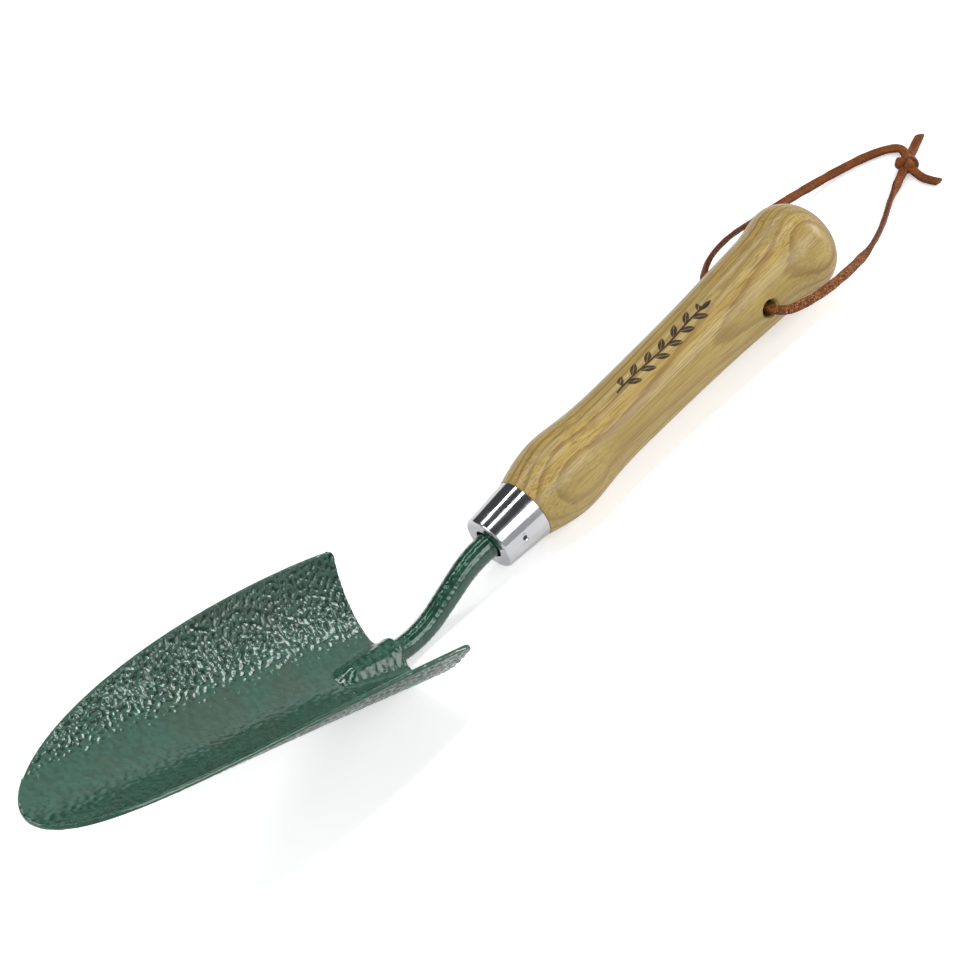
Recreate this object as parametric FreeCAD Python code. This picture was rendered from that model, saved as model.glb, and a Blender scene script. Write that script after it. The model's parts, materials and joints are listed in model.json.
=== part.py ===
import FreeCAD, Part
import math
import os

# Hand trowel: a pressed scoop blade, a swan-neck tang let into a turned ash handle with a ferrule,
# and a leather thong through the end of the handle.
#
# The pieces are first built about the handle: X runs along its axis from the mouth of the ferrule (0)
# to the end of the handle, Y is across and Z is up.  They are then tipped together, so that the trowel
# lies hollow side up on the bend of its tang and the bulge of its handle, with the origin under the
# middle of its box.  The thong's points are given in that last frame.  Millimetres and degrees.

V = FreeCAD.Vector

# Blade: a sheet bent to a channel whose floor is round and whose walls are nearly flat
BLADE_LENGTH = 135.0
SHEET = 1.5
REAR_HALF_GIRTH = 42.7        # from the middle of the floor to a rear corner, along the sheet
OUTLINE_POWER = 1.83          # 2 would be an ellipse, less is more pointed
FLOOR_RADIUS_REAR = 29.0
FLOOR_RADIUS_TIP = 33.0
WALL_RADIUS = 133.0
FLOOR_SPREAD = 39.2           # distance along the sheet over which the floor eases into the walls
TIP_DROP = 2.8                # how far the floor has fallen away from straight at the tip
TIP_HALF_GIRTH = 13.0         # half width of the front end that is drawn as one cross line
CORNER_ROUND = 1.8
BLADE_TILT = 29.8             # the floor rises at this angle to the handle, towards the tip
HEEL_BACK = 47.3              # heel ahead of the ferrule's mouth
HEEL_DROP = 8.7               # heel below the handle's axis

# Tang: a forged rod, its nose in a groove pressed up in the blade's floor
TANG_MOUTH_DIAMETER = 8.6
TANG_NECK_DIAMETER = 7.3
TANG_NOSE_DIAMETER = 3.4
TANG_NOSE_LENGTH = 16.0       # length of the taper that lies under the blade
TANG_UNDER = 0.45             # how far the nose's underside lies below the middle of the sheet
SHANK_DEPTH = 80.0
SHANK_POINT = 12.0
SHANK_POINT_DIAMETER = 3.0
NECK_SLOPE = 20.8             # slope of the neck's middle stretch
NECK_START = 9.0              # the neck's upper bend is centred this far ahead of the mouth
UPPER_BEND_RADIUS = 30.0
LOWER_BEND_RADIUS = 26.0

# Groove over the tang's nose
GROOVE_CLEARANCE = 0.2
GROOVE_HALF_WIDTH = 6.1       # where the groove has fallen to about a third of its height
GROOVE_POWER = 2.6            # 2 would be a plain bell, more is flatter on top
GROOVE_RUN_OUT = 6.0          # length beyond the nose over which the groove dies away

# Weld beads that fill the two creases beside the nose, under the blade
WELD_RADIUS = 1.7
WELD_SPREAD = 4.3
WELD_START = 1.0
WELD_LENGTH = 10.0

# Ferrule: a tapered cup with a turned-in lip
FERRULE_LENGTH = 17.3
FERRULE_MOUTH_DIAMETER = 19.2
FERRULE_REAR_DIAMETER = 21.8
FERRULE_WALL = 1.0
FERRULE_HOLE_DIAMETER = 10.4
FERRULE_ROUND = 1.2

# Handle: turned ash, given by its radius at a few stations between the ferrule and the flare
SHOULDER_PROUD = 0.15
BULGE_AT, BULGE_RADIUS = 33.0, 14.15
NECK_IN_AT, NECK_IN_RADIUS = 46.0, 13.1
WAIST_AT, WAIST_RADIUS = 69.0, 12.45
SWELL_AT, SWELL_RADIUS = 104.0, 13.1
HANDLE_END = 160.6
THROAT_AT, THROAT_RADIUS = HANDLE_END - 32.6, 14.2
SLOPE_AT, SLOPE_RADIUS = HANDLE_END - 20.6, 15.25
FLARE_AT, FLARE_RADIUS = HANDLE_END - 12.6, 16.4
SPIGOT_GAP = 0.5              # between the spigot and the ferrule's lip
SPIGOT_FIT = 0.05
SHANK_FIT = 0.05
SHANK_BORE_EXTRA = 2.0

# Thong bore, square to the handle and turned a little about its axis
BORE_AT = HANDLE_END - 38.5
BORE_TURN = 10.0
BORE_DIAMETER = 6.0
BORE_MOUTH_DIAMETER = 7.6
BORE_MOUTH_DEPTH = 1.2

# Brad that holds the ferrule
BRAD_AT = 8.0
BRAD_DIAMETER = 1.5
BRAD_LENGTH = 4.0
BRAD_SUNK = 0.35

# Thong: flat leather lace, drawn as a plain tube, its two legs tied in one knot
LACE_TUBE = 2.7
LACE_WIDTH = 3.2
LACE_THICKNESS = 1.9
KNOT_CENTRE = (215.5, 5.0, 3.0)
KNOT_LENGTH, KNOT_WIDTH, KNOT_HEIGHT = 8.4, 6.4, 5.6
KNOT_TURN = -45.0
BORE_MIDDLE = (125.7, 0.0, 17.1)
NEAR_LEG = [BORE_MIDDLE, (125.6, -9.6, 18.8), (126.4, -19.2, 20.2), (137.1, -23.0, 19.7),
            (150.1, -22.5, 17.3), (163.6, -19.2, 12.9), (176.6, -14.0, 8.2), (188.6, -7.4, 4.3),
            (198.6, -1.2, 2.1), (208.1, 2.9, 1.5), KNOT_CENTRE]
FAR_LEG = [BORE_MIDDLE, (125.8, 9.6, 15.4), (126.5, 18.9, 14.2), (135.6, 24.2, 14.6),
           (148.6, 26.6, 13.2), (161.6, 26.3, 10.2), (175.1, 26.9, 6.6), (188.6, 26.6, 3.4),
           (200.6, 24.8, 1.8), (211.6, 21.2, 1.5), (219.9, 16.6, 1.5), (222.4, 10.8, 1.9), KNOT_CENTRE]
TAIL_ENDS = [(230.3, 11.4, 1.3), (215.2, -9.0, 1.3)]

# Grid on which the blade's two faces are drawn
CROSS_LINES = 30
LONG_LINES = 23               # on each side of the middle line


def half_girth(x):
    """Half of the blade's width, measured along the sheet, at a distance x from the heel."""
    return REAR_HALF_GIRTH * math.sqrt(max(0.0, 1.0 - (x / BLADE_LENGTH) ** OUTLINE_POWER))


def outline_x(girth):
    """Distance from the heel at which the blade's half width is girth."""
    return BLADE_LENGTH * (1.0 - (girth / REAR_HALF_GIRTH) ** 2) ** (1.0 / OUTLINE_POWER)


def nose_radius(x):
    """Radius of the tang's nose at a distance x from the heel."""
    share = min(1.0, max(0.0, x / TANG_NOSE_LENGTH))
    return (TANG_NECK_DIAMETER + (TANG_NOSE_DIAMETER - TANG_NECK_DIAMETER) * share) / 2.0


def groove_height(x, y):
    """Height of the pressed groove above the floor: a flat-topped bell across, following the nose."""
    crown = 2.0 * nose_radius(x) - TANG_UNDER + GROOVE_CLEARANCE + SHEET / 2.0
    width = GROOVE_HALF_WIDTH * (nose_radius(x) / nose_radius(0.0)) ** 0.7
    past = min(1.0, max(0.0, (x - TANG_NOSE_LENGTH) / GROOVE_RUN_OUT))
    fade = 1.0 - past * past * (3.0 - 2.0 * past)
    return crown * fade * math.exp(-(abs(y) / width) ** GROOVE_POWER)


def channel_point(x, girth):
    """Middle of the sheet in the blade's own frame: x towards the tip, y across, z up from the heel.

    The slope angle across the sheet is the integral of a curvature that falls from the floor's to the
    walls' as a bell, and the section is the integral of that slope, taken by Simpson's rule.
    """
    along = x / BLADE_LENGTH
    floor_radius = FLOOR_RADIUS_REAR + (FLOOR_RADIUS_TIP - FLOOR_RADIUS_REAR) * along
    extra = (1.0 / floor_radius - 1.0 / WALL_RADIUS) * math.sqrt(math.pi) / 2.0 * FLOOR_SPREAD
    steps = 16
    y, z = 0.0, 0.0
    for i in range(steps + 1):
        part = girth * i / steps
        slope = part / WALL_RADIUS + extra * math.erf(part / FLOOR_SPREAD)
        weight = 1.0 if i in (0, steps) else (4.0 if i % 2 else 2.0)
        y += weight * math.cos(slope) * girth / steps / 3.0
        z += weight * math.sin(slope) * girth / steps / 3.0
    return V(x, y, z - TIP_DROP * along ** 2 + groove_height(x, y))


def sheet_face(side):
    """One face of the sheet, half its thickness to the side given by the sign."""
    reach = outline_x(TIP_HALF_GIRTH)
    small = 0.05
    rows = []
    for i in range(CROSS_LINES + 1):
        q = (i / CROSS_LINES) ** 1.35
        row = []
        for j in range(-LONG_LINES, LONG_LINES + 1):
            p = abs(j) / LONG_LINES
            p = math.copysign(0.5 * p + 0.5 * p * p, j)
            bow = outline_x(TIP_HALF_GIRTH * abs(p)) - reach
            x = reach * q + bow * q ** 4
            girth = p * half_girth(reach * q)
            point = channel_point(x, girth)
            ahead = channel_point(x + small, girth) - channel_point(x - small if x > small else x, girth)
            across = channel_point(x, girth + small) - channel_point(x, girth - small)
            normal = ahead.cross(across)
            normal.normalize()
            row.append(in_handle_frame(point + normal * (side * SHEET / 2.0)))
        rows.append(row)
    surface = Part.BSplineSurface()
    surface.interpolate(rows)
    return surface


def in_handle_frame(point):
    """Carry a point of the blade's frame to the handle's: turned end for end about Z, then tilted."""
    tilt = math.radians(BLADE_TILT)
    return V(-HEEL_BACK - point.x * math.cos(tilt) + point.z * math.sin(tilt),
             point.y,
             -HEEL_DROP + point.x * math.sin(tilt) + point.z * math.cos(tilt))


def make_blade():
    """Two faces of the sheet joined by ruled strips round the rim, its rear corners rounded."""
    upper, lower = sheet_face(1), sheet_face(-1)
    faces = [upper.toShape(), lower.toShape()]
    u0, u1, v0, v1 = upper.bounds()
    for cut in (lambda s: s.uIso(u0), lambda s: s.uIso(u1), lambda s: s.vIso(v0), lambda s: s.vIso(v1)):
        faces.append(Part.makeRuledSurface(cut(upper).toShape(), cut(lower).toShape()))
    shell = Part.Shell(faces)
    shell.sewShape()
    return Part.Solid(shell).cut([corner_gusset(side) for side in (-1, 1)])


def corner_gusset(side):
    """What is cut from a rear corner to round it: the square of its corner less a quarter circle."""
    girth = side * REAR_HALF_GIRTH
    small = 0.5
    corner = in_handle_frame(channel_point(0.0, girth))
    inward = (in_handle_frame(channel_point(0.0, girth - side * small)) - corner).normalize()
    rim_point = channel_point(CORNER_ROUND, side * half_girth(CORNER_ROUND))
    forward = (in_handle_frame(rim_point) - corner).normalize()
    normal = forward.cross(inward).normalize()
    forward = inward.cross(normal).normalize()
    margin = 1.0

    def at(ahead, across):
        return corner + forward * ahead + inward * across - normal * (2.0 * SHEET)

    curve = CORNER_ROUND * (1.0 - math.sqrt(0.5))
    arc = Part.Arc(at(CORNER_ROUND, 0), at(curve, curve), at(0, CORNER_ROUND)).toShape()
    corners = [at(0, CORNER_ROUND), at(-margin, CORNER_ROUND), at(-margin, -margin),
               at(CORNER_ROUND, -margin), at(CORNER_ROUND, 0)]
    wire = Part.Wire([arc] + [Part.LineSegment(a, b).toShape() for a, b in zip(corners, corners[1:])])
    return Part.Face(wire).extrude(normal * (4.0 * SHEET))


def neck_bends():
    """Corner points of the tang's bent centreline, and the unit direction of its nose, both in XZ."""
    nose_back = in_handle_frame(V(0, 0, nose_radius(0.0) - TANG_UNDER))
    nose_tip = in_handle_frame(V(TANG_NOSE_LENGTH, 0, nose_radius(TANG_NOSE_LENGTH) - TANG_UNDER))
    direction = (nose_tip - nose_back).normalize()
    slope = math.tan(math.radians(NECK_SLOPE))
    upper = V(-NECK_START, 0, 0)
    # the nose's line and the neck's sloping line meet at the lower bend
    reach = (nose_back.z - slope * (nose_back.x - upper.x)) / (direction.z - slope * direction.x)
    lower = nose_back - direction * reach
    return nose_tip, nose_back, lower, upper


def rounded_path(corners, radii):
    """Straight runs joined by tangent arcs of the given radii, as a list of edges."""
    edges = []
    start = corners[0]
    for before, corner, after, radius in zip(corners, corners[1:], corners[2:], radii):
        back = (before - corner).normalize()
        ahead = (after - corner).normalize()
        half_turn = (math.pi - back.getAngle(ahead)) / 2.0
        setback = radius * math.tan(half_turn)
        middle = corner + (back + ahead).normalize() * (radius / math.cos(half_turn) - radius)
        edges.append(Part.LineSegment(start, corner + back * setback).toShape())
        edges.append(Part.Arc(corner + back * setback, middle, corner + ahead * setback).toShape())
        start = corner + ahead * setback
    edges.append(Part.LineSegment(start, corners[-1]).toShape())
    return edges


def circle_wire(centre, normal, radius):
    return Part.Wire(Part.Circle(centre, normal, radius).toShape())


def make_tang():
    """Nose, neck and shank in one: circles set along the bent centreline and lofted."""
    nose_tip, nose_back, lower, upper = neck_bends()
    mouth = V(0, 0, 0)
    edges = rounded_path([nose_back, lower, upper, mouth], [LOWER_BEND_RADIUS, UPPER_BEND_RADIUS])
    path_length = sum(edge.Length for edge in edges)
    sections = []
    done = 0.0
    for edge in edges:
        count = 2 if edge.Curve.TypeId == "Part::GeomLine" else 6
        for i in range(count if edge is not edges[-1] else count + 1):
            at = edge.FirstParameter + (edge.LastParameter - edge.FirstParameter) * i / count
            share = (done + edge.Length * i / count) / path_length
            radius = (TANG_NECK_DIAMETER + (TANG_MOUTH_DIAMETER - TANG_NECK_DIAMETER) * share ** 2) / 2.0
            sections.append(circle_wire(edge.valueAt(at), edge.tangentAt(at), radius))
        done += edge.Length
    neck = Part.makeLoft(sections, True, False)
    axis = (nose_back - nose_tip).normalize()
    nose = Part.makeCone(TANG_NOSE_DIAMETER / 2.0, TANG_NECK_DIAMETER / 2.0,
                         (nose_back - nose_tip).Length, nose_tip, axis)
    straight = SHANK_DEPTH - SHANK_POINT
    shank = Part.makeCylinder(TANG_MOUTH_DIAMETER / 2.0, straight, mouth, V(1, 0, 0))
    point = Part.makeCone(TANG_MOUTH_DIAMETER / 2.0, SHANK_POINT_DIAMETER / 2.0, SHANK_POINT,
                          V(straight, 0, 0), V(1, 0, 0))
    return neck.multiFuse([nose, shank, point])


def make_welds(blade, tang):
    """A bead in the crease on each side of the nose, under the blade, cut to the metal around it."""
    beads = []
    for side in (-1, 1):
        start = in_handle_frame(V(WELD_START, side * WELD_SPREAD, 0.6))
        end = in_handle_frame(V(WELD_START + WELD_LENGTH, side * WELD_SPREAD * 0.72, 0.4))
        bead = Part.makeCylinder(WELD_RADIUS, (end - start).Length, start, end - start)
        bead = bead.cut(blade).cut(tang)
        beads.append(max(bead.Solids, key=lambda solid: solid.Volume))
    return Part.makeCompound(beads)


def turned(points_and_radii):
    """A solid of revolution about X from a closed outline of (x, radius) corners."""
    outline = Part.makePolygon([V(x, 0, r) for x, r in points_and_radii])
    return Part.Face(outline).revolve(V(0, 0, 0), V(1, 0, 0), 360)


def ferrule_radius(x):
    mouth, rear = FERRULE_MOUTH_DIAMETER / 2.0, FERRULE_REAR_DIAMETER / 2.0
    return mouth + (rear - mouth) * x / FERRULE_LENGTH


def make_ferrule():
    """Tapered cup: outer cone, inner cone a wall inside it, and a flat lip round the tang's hole."""
    hole = FERRULE_HOLE_DIAMETER / 2.0
    lip = FERRULE_WALL
    outline = [(0, hole), (0, ferrule_radius(0)), (FERRULE_LENGTH, ferrule_radius(FERRULE_LENGTH)),
               (FERRULE_LENGTH, ferrule_radius(FERRULE_LENGTH) - FERRULE_WALL),
               (lip, ferrule_radius(lip) - FERRULE_WALL), (lip, hole), (0, hole)]
    cup = turned(outline)
    rim = [edge for edge in cup.Edges
           if edge.BoundBox.XMax < 0.01 and edge.BoundBox.ZMax > ferrule_radius(0) - 0.01]
    cup = cup.makeFillet(FERRULE_ROUND, rim)
    return cup.cut(brad_tool(BRAD_DIAMETER / 2.0 + SPIGOT_FIT, 0.0))


def brad_direction():
    """Outward direction of the brad and of the near mouth of the thong bore."""
    turn = math.radians(BORE_TURN)
    return V(0, -math.cos(turn), math.sin(turn))


def brad_tool(radius, sunk):
    """A rod from below the ferrule's surface, sunk below it, inwards by the brad's length."""
    out = brad_direction()
    surface = ferrule_radius(BRAD_AT) + (0.5 if sunk == 0.0 else -sunk)
    length = BRAD_LENGTH + (0.5 if sunk == 0.0 else -sunk)
    return Part.makeCylinder(radius, length, V(BRAD_AT, 0, 0) + out * surface, out * -1.0)


def handle_profile():
    """The turned outline from the ferrule to the end: one smooth curve, ending in an elliptical dome."""
    shoulder = ferrule_radius(FERRULE_LENGTH) + SHOULDER_PROUD
    stations = [(FERRULE_LENGTH, shoulder), (BULGE_AT, BULGE_RADIUS), (NECK_IN_AT, NECK_IN_RADIUS),
                (WAIST_AT, WAIST_RADIUS), (SWELL_AT, SWELL_RADIUS), (THROAT_AT, THROAT_RADIUS),
                (SLOPE_AT, SLOPE_RADIUS), (FLARE_AT, FLARE_RADIUS)]
    dome = HANDLE_END - FLARE_AT
    for degrees in (30, 55, 75, 90):
        angle = math.radians(degrees)
        stations.append((FLARE_AT + dome * math.sin(angle), FLARE_RADIUS * math.cos(angle)))
    curve = Part.BSplineCurve()
    curve.interpolate(Points=[V(x, 0, r) for x, r in stations],
                      InitialTangent=V(1, 0, 0.30), FinalTangent=V(0, 0, -1))
    return curve


def handle_radius(profile, x):
    """Radius of the handle at a station between the ferrule and the flare."""
    low, high = profile.FirstParameter, profile.LastParameter
    for _ in range(40):
        middle = (low + high) / 2.0
        if profile.value(middle).x < x:
            low = middle
        else:
            high = middle
    return profile.value(low).z


def make_handle(profile):
    """Turned body and tapered spigot, bored for the tang and, across, for the thong."""
    front = FERRULE_WALL + SPIGOT_GAP
    spigot_front = ferrule_radius(front) - FERRULE_WALL - SPIGOT_FIT
    spigot_rear = ferrule_radius(FERRULE_LENGTH) - FERRULE_WALL - SPIGOT_FIT
    start, end = profile.StartPoint, profile.EndPoint
    corners = [end, V(front, 0, 0), V(front, 0, spigot_front), V(FERRULE_LENGTH, 0, spigot_rear), start]
    edges = [Part.LineSegment(a, b).toShape() for a, b in zip(corners, corners[1:])]
    wire = Part.Wire(edges + [profile.toShape()])
    body = Part.Face(wire).revolve(V(0, 0, 0), V(1, 0, 0), 360)
    shank_bore = Part.makeCylinder(TANG_MOUTH_DIAMETER / 2.0 + SHANK_FIT, SHANK_DEPTH + SHANK_BORE_EXTRA,
                                   V(0, 0, 0), V(1, 0, 0))
    out = brad_direction()
    middle = V(BORE_AT, 0, 0)
    wall = handle_radius(profile, BORE_AT)
    cuts = [shank_bore, Part.makeCylinder(BORE_DIAMETER / 2.0, 4.0 * wall, middle - out * (2.0 * wall), out),
            brad_tool(BRAD_DIAMETER / 2.0, BRAD_SUNK)]
    flare = (BORE_MOUTH_DIAMETER - BORE_DIAMETER) / 2.0
    for way in (out, out * -1.0):
        cuts.append(Part.makeCone(BORE_DIAMETER / 2.0, BORE_DIAMETER / 2.0 + 3.0 * flare,
                                  3.0 * BORE_MOUTH_DEPTH, middle + way * (wall - BORE_MOUTH_DEPTH), way))
    return body.cut(cuts)


def resting_tilt(front_pieces, handle):
    """Angle that brings the blade or tang and the handle down to one level, found by halving."""
    front = [point for piece in front_pieces for point in piece.tessellate(0.05)[0]]
    rear = handle.tessellate(0.05)[0]

    def level(points, angle):
        return min(p.x * math.sin(angle) + p.z * math.cos(angle) for p in points)

    low, high = 0.0, math.radians(30.0)
    for _ in range(30):
        middle = (low + high) / 2.0
        if level(front, middle) > level(rear, middle):
            low = middle
        else:
            high = middle
    return math.degrees(low)


def lay_down(shapes, tilt):
    """Tip every piece by the resting tilt and put the origin under the middle of their common box."""
    for shape in shapes:
        shape.rotate(V(0, 0, 0), V(0, 1, 0), -tilt)
    box = FreeCAD.BoundBox()
    for shape in shapes:
        box.add(shape.optimalBoundingBox(False))
    move = V(-box.Center.x, 0, -box.ZMin)
    for shape in shapes:
        shape.translate(move)
    return move


def make_leg(name, points, knot):
    """One leg of the thong: a tube along straight runs joined by arcs, stopped by the knot."""
    corners = [V(*point) for point in points]
    radii = []
    for before, corner, after in zip(corners, corners[1:], corners[2:]):
        back, ahead = before - corner, after - corner
        half_turn = (math.pi - back.getAngle(ahead)) / 2.0
        radii.append(0.45 * min(back.Length, ahead.Length) / math.tan(half_turn))
    print(name, "arc radii", [round(radius, 1) for radius in radii])
    path = Part.Wire(rounded_path(corners, radii))
    section = circle_wire(corners[0], corners[1] - corners[0], LACE_TUBE / 2.0)
    tube = path.makePipeShell([section], True, False)
    plain = math.pi * LACE_TUBE ** 2 / 4.0 * path.Length
    print(name, "length", round(path.Length, 1), "volume over section times length",
          round(tube.Volume / plain, 4))
    tube = tube.cut(knot)
    return max(tube.Solids, key=lambda solid: solid.Volume)


def make_knot():
    """The thong's overhand knot as a plain egg, set across the loop."""
    matrix = FreeCAD.Matrix()
    matrix.scale(KNOT_LENGTH / 2.0, KNOT_WIDTH / 2.0, KNOT_HEIGHT / 2.0)
    matrix.rotateZ(math.radians(KNOT_TURN))
    matrix.move(V(*KNOT_CENTRE))
    return Part.makeSphere(1.0).transformGeometry(matrix)


def make_tails(stops):
    """The lace's two short ends beyond the knot, as flat strips cut to the knot and the legs."""
    strips = []
    for end in TAIL_ENDS:
        start = V(KNOT_CENTRE[0], KNOT_CENTRE[1], LACE_THICKNESS / 2.0 + 0.6)
        run = V(*end) - start
        strip = Part.makeBox(run.Length, LACE_WIDTH, LACE_THICKNESS,
                             V(0, -LACE_WIDTH / 2.0, -LACE_THICKNESS / 2.0))
        strip.rotate(V(0, 0, 0), V(0, 1, 0), -math.degrees(math.asin(run.z / run.Length)))
        strip.rotate(V(0, 0, 0), V(0, 0, 1), math.degrees(math.atan2(run.y, run.x)))
        strip.translate(start)
        strip = strip.cut(stops)
        strips.append(max(strip.Solids, key=lambda solid: solid.Volume))
    return Part.makeCompound(strips)


def main():
    os.makedirs("parts", exist_ok=True)
    profile = handle_profile()
    blade = make_blade()
    tang = make_tang()
    pieces = {
        "blade": blade,
        "tang": tang,
        "tang_welds": make_welds(blade, tang),
        "ferrule": make_ferrule(),
        "ferrule_brad": brad_tool(BRAD_DIAMETER / 2.0, BRAD_SUNK),
        "handle": make_handle(profile),
    }
    tilt = resting_tilt([blade, tang], pieces["handle"])
    move = lay_down(list(pieces.values()), tilt)
    print("resting tilt", round(tilt, 3), "move", [round(c, 3) for c in move])
    turn = math.radians(tilt)
    print("bore middle", round(BORE_AT * math.cos(turn) + move.x, 2), 0,
          round(BORE_AT * math.sin(turn) + move.z, 2))
    follow = V(round(BORE_AT * math.cos(turn) + move.x - BORE_MIDDLE[0], 1), 0, 0)
    knot = make_knot()
    near_leg = make_leg("thong_near_leg", NEAR_LEG, knot)
    far_leg = make_leg("thong_far_leg", FAR_LEG, knot)
    pieces["thong_near_leg"] = near_leg
    pieces["thong_far_leg"] = far_leg
    pieces["thong_knot"] = knot
    pieces["thong_tails"] = make_tails([knot, near_leg, far_leg])
    for name in ("thong_near_leg", "thong_far_leg", "thong_knot", "thong_tails"):
        pieces[name].translate(follow)
    for name, shape in pieces.items():
        shape.exportStep("parts/" + name + ".step")
        box = shape.BoundBox
        print(name, "solids", len(shape.Solids), "valid", shape.isValid(), "mm3", round(shape.Volume),
              [round(c, 1) for c in (box.XMin, box.XMax, box.YMin, box.YMax, box.ZMin, box.ZMax)])


main()
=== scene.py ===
"""The looks of a hand trowel: hammered green scoop and tang, plated ferrule, lacquered ash, leather thong."""

import json
import math

import bmesh
import bpy
import numpy as np
from bpy.props import FloatProperty, FloatVectorProperty, PointerProperty
from bpy.types import Operator, Panel, PropertyGroup
from mathutils import Matrix, Vector

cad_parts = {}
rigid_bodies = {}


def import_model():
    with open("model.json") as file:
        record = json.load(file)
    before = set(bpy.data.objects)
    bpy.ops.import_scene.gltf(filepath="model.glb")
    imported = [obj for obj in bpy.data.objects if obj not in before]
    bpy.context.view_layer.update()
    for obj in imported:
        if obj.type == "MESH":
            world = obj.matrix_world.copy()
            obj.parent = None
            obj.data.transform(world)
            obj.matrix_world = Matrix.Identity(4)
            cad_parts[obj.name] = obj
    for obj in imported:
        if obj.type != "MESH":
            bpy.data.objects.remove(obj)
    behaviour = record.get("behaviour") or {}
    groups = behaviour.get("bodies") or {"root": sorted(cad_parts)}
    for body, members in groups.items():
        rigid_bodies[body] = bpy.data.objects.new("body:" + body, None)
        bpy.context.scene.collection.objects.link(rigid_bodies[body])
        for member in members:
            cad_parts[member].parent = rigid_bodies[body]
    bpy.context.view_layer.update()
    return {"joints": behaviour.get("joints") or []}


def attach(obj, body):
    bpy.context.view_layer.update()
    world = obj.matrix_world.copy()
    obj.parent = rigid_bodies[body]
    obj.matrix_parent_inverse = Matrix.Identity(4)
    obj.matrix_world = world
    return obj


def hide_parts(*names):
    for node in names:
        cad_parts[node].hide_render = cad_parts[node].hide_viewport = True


bl_info = {
    "name": "Hand trowel",
    "version": (1, 0, 0),
    "blender": (4, 5, 0),
    "location": "View3D > Sidebar > Trowel",
    "description": "Builds a hand trowel with a pressed scoop, an ash handle and a leather thong",
    "category": "Add Mesh",
}

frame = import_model()

# The thong's hinge lies on the handle's axis and along the thong bore, so it gives the handle's place.
HINGE = frame["joints"][0]
BORE_WAY = np.array(HINGE["axis"]) / np.linalg.norm(HINGE["axis"])
TILT = math.atan2(-BORE_WAY[0], BORE_WAY[2])
TROWEL_BODY, THONG_BODY = HINGE["parent"], HINGE["child"]
PAINT_SLOT = "hammered_green_paint"

# The thong's route through the bore and along the surface, as the model's own tubes have it, in metres
BORE_MIDDLE = (0.1257, 0.0, 0.0171)
KNOT_CENTRE = (0.2155, 0.0050, 0.0030)
NEAR_LEG = [BORE_MIDDLE, (0.1256, -0.0096, 0.0188), (0.1264, -0.0192, 0.0202), (0.1371, -0.0230, 0.0197),
            (0.1501, -0.0225, 0.0173), (0.1636, -0.0192, 0.0129), (0.1766, -0.0140, 0.0082),
            (0.1886, -0.0074, 0.0043), (0.1986, -0.0012, 0.0021), (0.2081, 0.0029, 0.0015), KNOT_CENTRE]
FAR_LEG = [BORE_MIDDLE, (0.1258, 0.0096, 0.0154), (0.1265, 0.0189, 0.0142), (0.1356, 0.0242, 0.0146),
           (0.1486, 0.0266, 0.0132), (0.1616, 0.0263, 0.0102), (0.1751, 0.0269, 0.0066),
           (0.1886, 0.0266, 0.0034), (0.2006, 0.0248, 0.0018), (0.2116, 0.0212, 0.0015),
           (0.2199, 0.0166, 0.0015), (0.2224, 0.0108, 0.0019), KNOT_CENTRE]
TAIL_ENDS = [(0.2303, 0.0114, 0.0013), (0.2152, -0.0090, 0.0013)]


# ---------------------------------------------------------------- sizes and colours

def length_of(name, metres, text):
    return FloatProperty(name=name, description=text, default=metres, unit="LENGTH", precision=5)


def angle_of(name, degrees, text):
    return FloatProperty(name=name, description=text, default=math.radians(degrees), subtype="ANGLE")


def share_of(name, value, text):
    return FloatProperty(name=name, description=text, default=value)


def colour_of(name, rgb, text):
    return FloatVectorProperty(name=name, description=text, default=rgb, subtype="COLOR", min=0, max=1)


def station_of(name, place, radius):
    return FloatVectorProperty(name=name, description="Place and radius", size=2, default=(place, radius),
                               unit="LENGTH", precision=5)


class BladeSettings(PropertyGroup):
    length: length_of("Length", 0.135, "Heel to tip along the floor")
    sheet: length_of("Sheet", 0.0015, "Thickness of the sheet with its paint")
    rear_half_girth: length_of("Rear half girth", 0.0427, "Middle of the floor to a rear corner, on the sheet")
    outline_power: share_of("Outline power", 1.83, "2 would be an ellipse, less is more pointed")
    floor_radius_rear: length_of("Floor radius, rear", 0.029, "Radius of the floor across, at the heel")
    floor_radius_tip: length_of("Floor radius, tip", 0.033, "Radius of the floor across, at the tip")
    wall_radius: length_of("Wall radius", 0.133, "Radius of the nearly flat walls")
    floor_spread: length_of("Floor spread", 0.0392, "Distance over which the floor eases into the walls")
    tip_drop: length_of("Tip drop", 0.0028, "Fall of the floor from straight at the tip")
    tip_half_girth: length_of("Tip half girth", 0.013, "Half width of the front end drawn as one cross line")
    corner_round: length_of("Corner round", 0.0018, "Radius of the rear corners")
    tilt: angle_of("Tilt", 29.8, "Rise of the floor to the handle's axis")
    heel_back: length_of("Heel back", 0.0473, "Heel ahead of the ferrule's mouth")
    heel_drop: length_of("Heel drop", 0.0087, "Heel below the handle's axis")
    hammer_height: length_of("Hammer height", 0.00011, "Height of the hammered paint's bumps")
    hammer_size: length_of("Hammer size", 0.0023, "Pitch of the hammered paint's bumps")
    paint: colour_of("Paint", (0.017, 0.096, 0.057), "Green of the hammered paint")
    paint_light: colour_of("Paint, light", (0.021, 0.104, 0.066), "Paler green in the paint")
    paint_olive: colour_of("Paint, olive", (0.045, 0.058, 0.020), "Olive that shows in the paint in places")


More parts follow.
